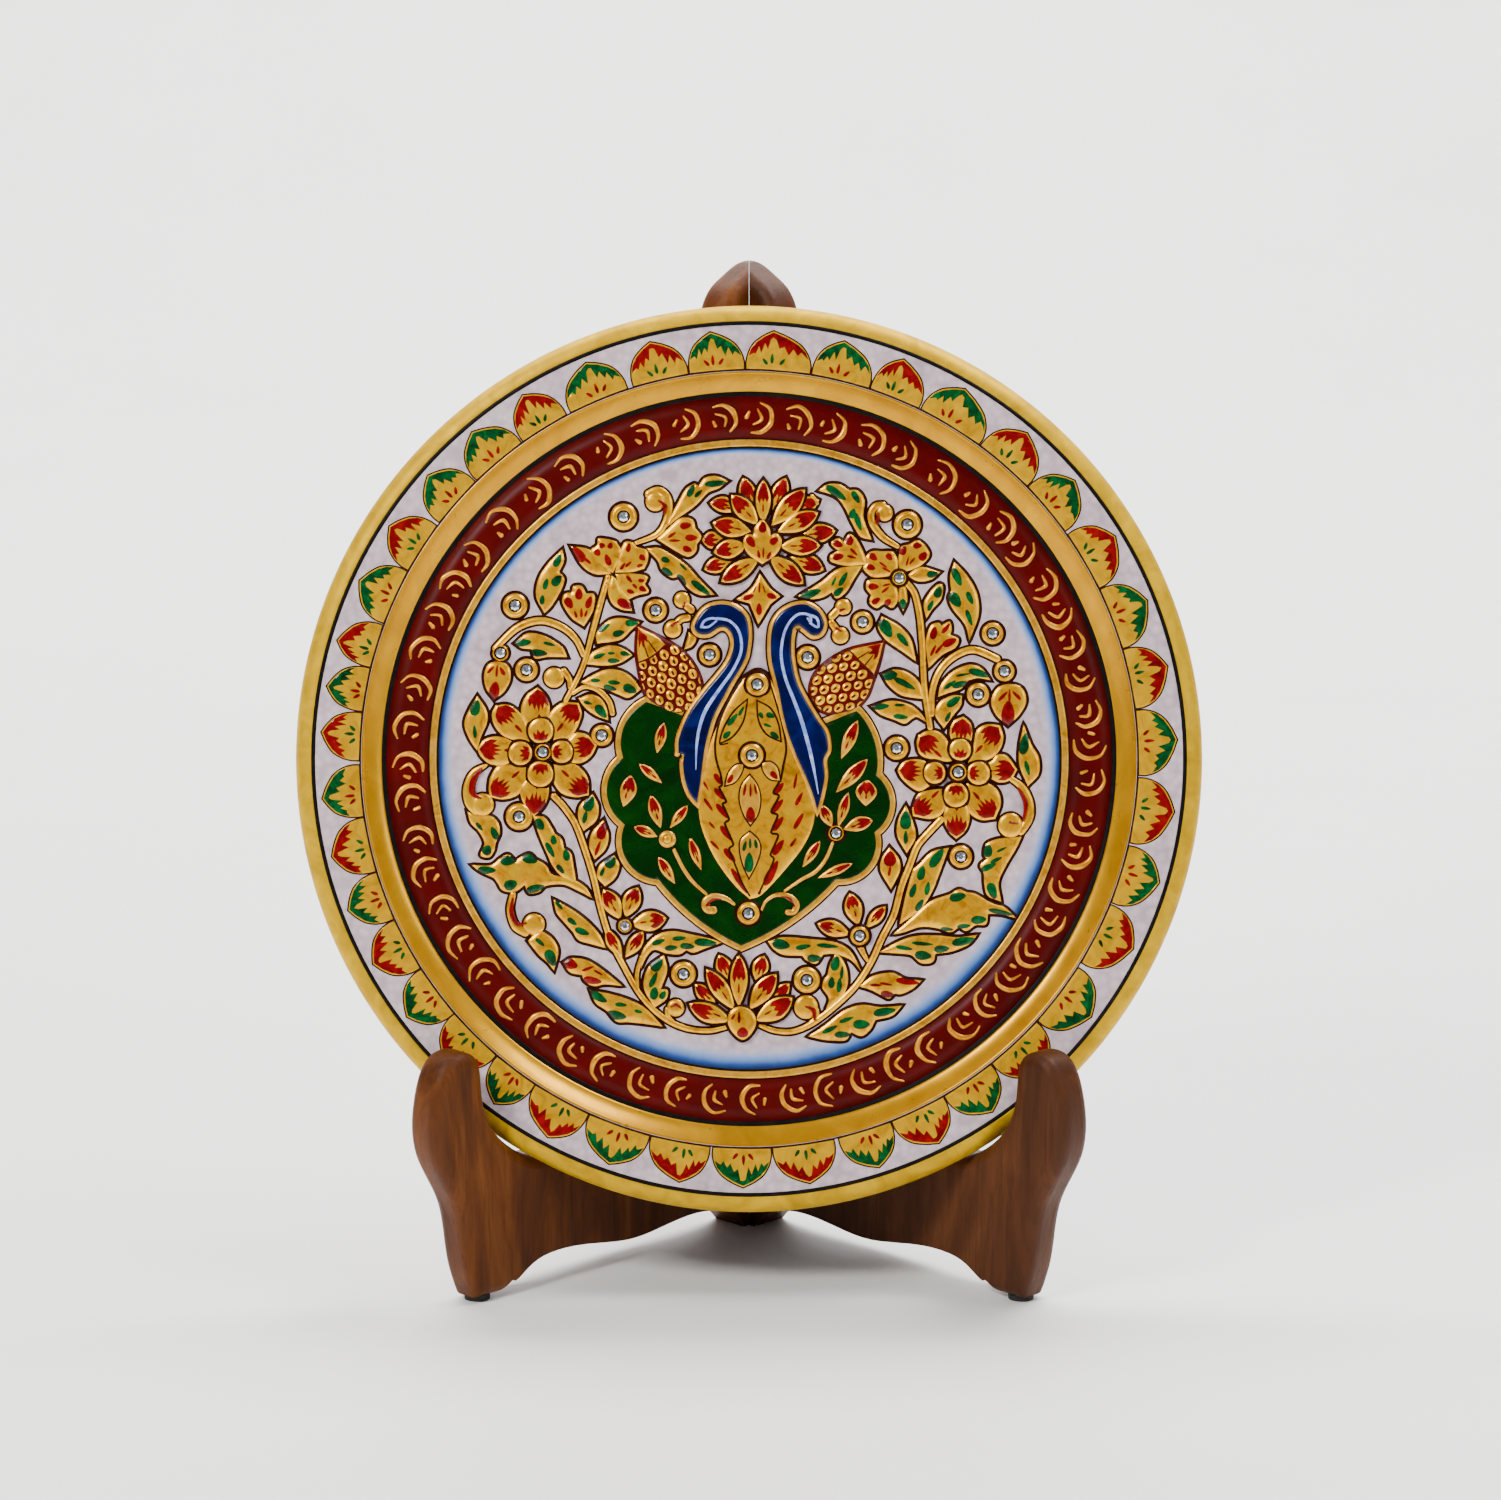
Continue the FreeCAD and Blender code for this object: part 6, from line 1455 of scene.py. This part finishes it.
def plate_pieces():
    back = [(0, 0), (40, 0), (79.4, 0), (80.4, 0.3), (81.6, 1.3), (85, 1.5), (100, 3.2), (118, 6.0),
            (125.0, 7.5), (126.6, 8.8)]
    front_radii = [127.0, 126.6, 125.8, 124.6, 123.0, 121.4, 117, 113, 108.4, 107, 105.5, 104, 102.6, 102]
    front = [(r, front_depth(r)) for r in front_radii]
    inner = [(r, FLOOR_D) for r in (95, 88, 87.2, 86.6, 86, 85.4, 84.8, 84.2, 83.6, 83, 82, 81, 80, 79, 75,
                                    60, 45, 30, 15, 0)]
    profile = back + front + inner
    gilded = ["edge_gold"] * 5
    paints = (["marble"] * len(back[:-2]) + gilded + ["marble"] * (len(front) - 3)
              + ["marble_wash"] * len(inner))
    body = Piece("marble_plate", "marble", ["plate_body"])
    lathe(body, profile[::-1], SEGMENTS, paints[::-1][1:] + ["marble"], closed=False)
    plate = body.finish()
    wash = plate.data.attributes.new("wash", "FLOAT", "POINT")
    amounts = []
    for vertex in plate.data.vertices:
        x = vertex.co.x / MM
        y = (vertex.co.z / MM - PLATE_AT[2] - FLOOR_D * math.sin(LEAN)) / math.cos(LEAN)
        r = math.hypot(x, y)
        low = 0.5 - 0.5 * y / max(r, 1e-6)
        start = WASH_START_R - WASH_DROOP * low
        share = (r - start) / (WASH_FULL_R - start)
        amounts.append(min(1.0, max(0.0, share)) ** WASH_CURVE)
    wash.data.foreach_set("value", amounts)
    for painted_ring in RINGS:
        ring(*painted_ring)


# Rim petals: where each starts, where its tip stands and where it ends, degrees clockwise from the top,
# with the colour of the tip.
RIM_PETALS = [
    (-174.3, -170.6, -165.4, "red"), (-165.3, -160.9, -155.8, "green"), (-155.7, -152.0, -146.7, "red"),
    (-146.7, -143.5, -139.7, "green"), (-139.6, -134.8, -130.8, "red"), (-130.8, -127.0, -122.6, "green"),
    (-122.5, -118.6, -114.4, "red"), (-114.3, -110.7, -106.9, "green"), (-106.8, -103.2, -98.6, "red"),
    (-98.5, -95.3, -90.8, "green"), (-90.3, -86.4, -83.2, "red"), (-83.0, -80.2, -76.5, "green"),
    (-76.4, -73.9, -69.9, "red"), (-69.7, -65.4, -61.2, "green"), (-61.1, -57.1, -53.2, "red"),
    (-52.7, -48.6, -44.6, "green"), (-44.4, -40.3, -35.7, "green"), (-35.5, -31.9, -27.9, "red"),
    (-27.3, -22.4, -18.1, "green"), (-17.3, -13.4, -8.9, "red"), (-8.8, -5.2, -0.6, "green"),
    (-0.5, 3.3, 9.1, "red"), (9.2, 12.9, 18.0, "green"), (18.1, 21.2, 25.9, "red"),
    (26.1, 30.3, 36.3, "green"), (36.4, 40.5, 45.6, "red"), (45.7, 49.5, 54.3, "green"),
    (54.8, 58.7, 64.1, "red"), (64.2, 68.3, 73.6, "green"), (73.7, 77.5, 82.7, "red"),
    (82.8, 87.4, 92.5, "green"), (92.7, 97.1, 102.5, "red"), (102.8, 106.8, 111.7, "green"),
    (111.9, 116.3, 121.6, "red"), (122.3, 127.0, 132.3, "green"), (132.4, 136.7, 141.5, "red"),
    (141.6, 145.4, 150.0, "green"), (150.1, 153.7, 158.6, "red"), (158.7, 162.3, 166.8, "green"),
    (167.4, 171.8, 176.6, "red"), (176.7, 180.8, 185.4, "green"),
]


# One rim petal: share of its half width and radius up one side, then its tip and the middle of its foot.
PETAL_SIDES = [(0.965, 109.1), (0.955, 111.2), (0.86, 113.8), (0.66, 116.3), (0.34, 118.2)]
PETAL_TIP_R = 119.6
PETAL_FOOT_R = 109.0
# The coloured tip with its streaks, as share of the half width and radius.
TIP_STREAKS = [(-0.90, 112.6), (-0.80, 114.6), (-0.60, 116.4), (-0.30, 118.1), (0.0, 119.3), (0.30, 118.1),
               (0.60, 116.4), (0.80, 114.6), (0.90, 112.6), (0.70, 113.9), (0.62, 112.9), (0.50, 114.8),
               (0.40, 113.2), (0.28, 115.9), (0.16, 114.6), (0.08, 117.4), (0.0, 117.9), (-0.08, 117.3),
               (-0.17, 114.4), (-0.28, 115.8), (-0.42, 113.4), (-0.50, 114.9), (-0.62, 112.8), (-0.70, 113.8)]
# The three dabs at its foot: share of the half width, radius, and anticlockwise turn in radians.
PETAL_DABS = [(-0.26, 111.2, 0.7), (0.0, 111.9, 0.0), (0.26, 111.2, -0.7)]


def rim_petals():
    """Pointed gold petals side by side on the rim, their tips streaked with red or green."""
    rng = random.Random(SEED + 2)
    other = {"red": "green", "green": "red"}
    groups = [Piece(f"rim_petals_{k}", "gold_relief") for k in range(6)]
    for i, (start, tip_at, end, paint) in enumerate(RIM_PETALS):

        def place(u, r):
            """u runs from -1 at the petal's start through 0 at its tip to 1 at its end."""
            degrees = tip_at + (u * (tip_at - start) if u < 0 else u * (end - tip_at))
            t = math.radians(degrees)
            return np.array([math.sin(t) * r, math.cos(t) * r])

        edge = [place(-u, r) for u, r in PETAL_SIDES] + [place(0.0, PETAL_TIP_R)] + [place(u, r) for u,
            r in reversed(PETAL_SIDES)]
        outline = [tuple(p) for p in edge] + [tuple(place(0.0, PETAL_FOOT_R))]
        for corner in (0, 5, 10):
            outline[corner] += (1,)
        tip = np.array([place(u, r + (rng.uniform(-0.5, 0.5) if 9 <= k != 16 else 0.0)) for k,
                        (u, r) in enumerate(TIP_STREAKS)])
        zones = [(tip, paint)]
        radial = math.radians(90.0 - tip_at)
        for sway, high, turn in PETAL_DABS:
            x, y = place(sway, high + rng.uniform(-0.2, 0.2))
            zones.append((spot(x, y, 2.9 if sway == 0.0 else 2.2, 0.95, radial + turn), other[paint]))
        motif(groups[i * 6 // len(RIM_PETALS)], smooth(outline), "rim_gold", zones, 0.18, border=0.42,
              rise=0.08, roundness=1.0)
    for piece in groups:
        piece.finish()


# --- the stand and the studio --------------------------------------------------------------------
# The two boards take the lighter and the darker copy of one wood: painted light on the left, painted shade on
# the right.
CAD_PAINT = {
    "leaf_left": "wood_left_painted_light", "leaf_right": "wood_right_painted_shade", "foot_pad_left": "pad", "foot_pad_right": "pad",
    "hinge_pin_upper": "steel", "hinge_pin_lower": "steel", "hinge_screws_left": "steel",
    "hinge_screws_right": "steel", "hinge_upper_left": "brass", "hinge_upper_right": "brass",
    "hinge_lower_left": "brass", "hinge_lower_right": "brass",
}


def paint_stand():
    """The stand is shown by its CAD nodes, which only get their materials here."""
    for node, material in CAD_PAINT.items():
        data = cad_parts[node].data
        data.materials.clear()
        data.materials.append(MATERIALS[material])


# The floor and the backdrop it sweeps up into: depth and height in metres, and half its width.
FLOOR_PROFILE = [(-3.0, 0.0), (1.2, 0.0), (1.5, 0.03), (1.75, 0.13), (1.95, 0.32), (2.05, 0.6), (2.1, 3.0)]
FLOOR_HALF_WIDTH = 4.0
# Lights aimed at the plate: name, place, width and height in metres, power in watts, colour.
PLATE_LIGHTS = [
    ("key", (-0.80, -0.95, 1.15), (0.4, 0.4), 24.0, (1.0, 0.98, 0.95)),
    ("fill", (1.2, -1.1, 0.8), (0.6, 0.6), 7.0, (0.97, 0.98, 1.0)),
    ("top", (0.48, -0.02, 1.05), (0.5, 0.3), 9.0, (1.0, 1.0, 1.0)),
]
BACKDROP_LIGHT = ("backdrop", (0.0, 0.9, 2.2), (3.0, 0.8), 190.0, (1.0, 1.0, 1.0))
BACKDROP_AIM = (0.0, 1.9, 0.2)
WORLD_COLOUR = (0.95, 0.96, 1.0, 1.0)
WORLD_STRENGTH = 0.10
# Camera: distance from the plate's floor, width seen there and sensor width in mm, and the point of the
# plate that it faces. The near clip is in metres.
CAMERA_DISTANCE = 1400.0
SEEN_WIDTH = 421.0
SENSOR = 36.0
CAMERA_AIM = (0.4, 2.5)
CLIP_START = 0.05


def add_floor():
    """A pale floor that sweeps up into a backdrop far behind."""
    points = []
    for y, z in FLOOR_PROFILE:
        points += [(-FLOOR_HALF_WIDTH, y, z), (FLOOR_HALF_WIDTH, y, z)]
    faces = [(2 * i, 2 * i + 1, 2 * i + 3, 2 * i + 2) for i in range(len(FLOOR_PROFILE) - 1)]
    mesh = bpy.data.meshes.new("floor")
    mesh.from_pydata(points, [], faces)
    mesh.materials.append(MATERIALS["studio_floor"])
    mesh.polygons.foreach_set("use_smooth", [True] * len(faces))
    floor = bpy.data.objects.new("floor", mesh)
    bpy.context.scene.collection.objects.link(floor)


def aim(obj, target):
    obj.rotation_euler = (Vector(target) - obj.location).to_track_quat("-Z", "Y").to_euler()


def add_light(name, place, size, power, colour, target):
    """An area lamp turned to face a point."""
    lamp = bpy.data.lights.new(name, "AREA")
    lamp.shape = "RECTANGLE"
    lamp.size = size[0]
    lamp.size_y = size[1]
    lamp.energy = power
    lamp.color = colour
    obj = bpy.data.objects.new(name, lamp)
    obj.location = place
    bpy.context.scene.collection.objects.link(obj)
    aim(obj, target)


def add_studio():
    centre = on_plate(0, 0, FLOOR_D)
    for light in PLATE_LIGHTS:
        add_light(*light, centre)
    add_light(*BACKDROP_LIGHT, BACKDROP_AIM)
    world = bpy.data.worlds.new("studio")
    world.use_nodes = True
    background = world.node_tree.nodes["Background"]
    background.inputs["Color"].default_value = WORLD_COLOUR
    background.inputs["Strength"].default_value = WORLD_STRENGTH
    bpy.context.scene.world = world


def add_camera():
    """Square on to the leaning plate, from about the distance of the photograph."""
    target = on_plate(*CAMERA_AIM, FLOOR_D)
    data = bpy.data.cameras.new("camera")
    data.sensor_width = SENSOR
    data.lens = SENSOR * CAMERA_DISTANCE / SEEN_WIDTH
    data.clip_start = CLIP_START
    camera = bpy.data.objects.new("camera", data)
    camera.location = on_plate(*CAMERA_AIM, FLOOR_D + CAMERA_DISTANCE)
    bpy.context.scene.collection.objects.link(camera)
    aim(camera, target)
    bpy.context.scene.camera = camera


def main():
    rng = random.Random(SEED)
    make_materials()
    paint_stand()
    plate_pieces()
    rim_petals()
    band_scrolls()
    tail_fan(rng)
    bird()
    fruits(rng)
    lotuses(rng)
    big_flower("flower_left_petals", "flower_left", FLOWER_LEFT, DISCS_LEFT, (-58.2, 2.0))
    big_flower("flower_right_petals", "flower_right", FLOWER_RIGHT, DISCS_RIGHT, (58.4, -3.8))
    small_flowers(rng)
    spotted("left", SPOTTED_LEFT, "leaves_left")
    spotted("right", SPOTTED_RIGHT, "leaves_right")
    stems("left", STEMS_LEFT, BALLS_LEFT)
    stems("right", STEMS_RIGHT, BALLS_RIGHT)
    crescents()
    gem_pieces()
    add_floor()
    add_studio()
    add_camera()


main()
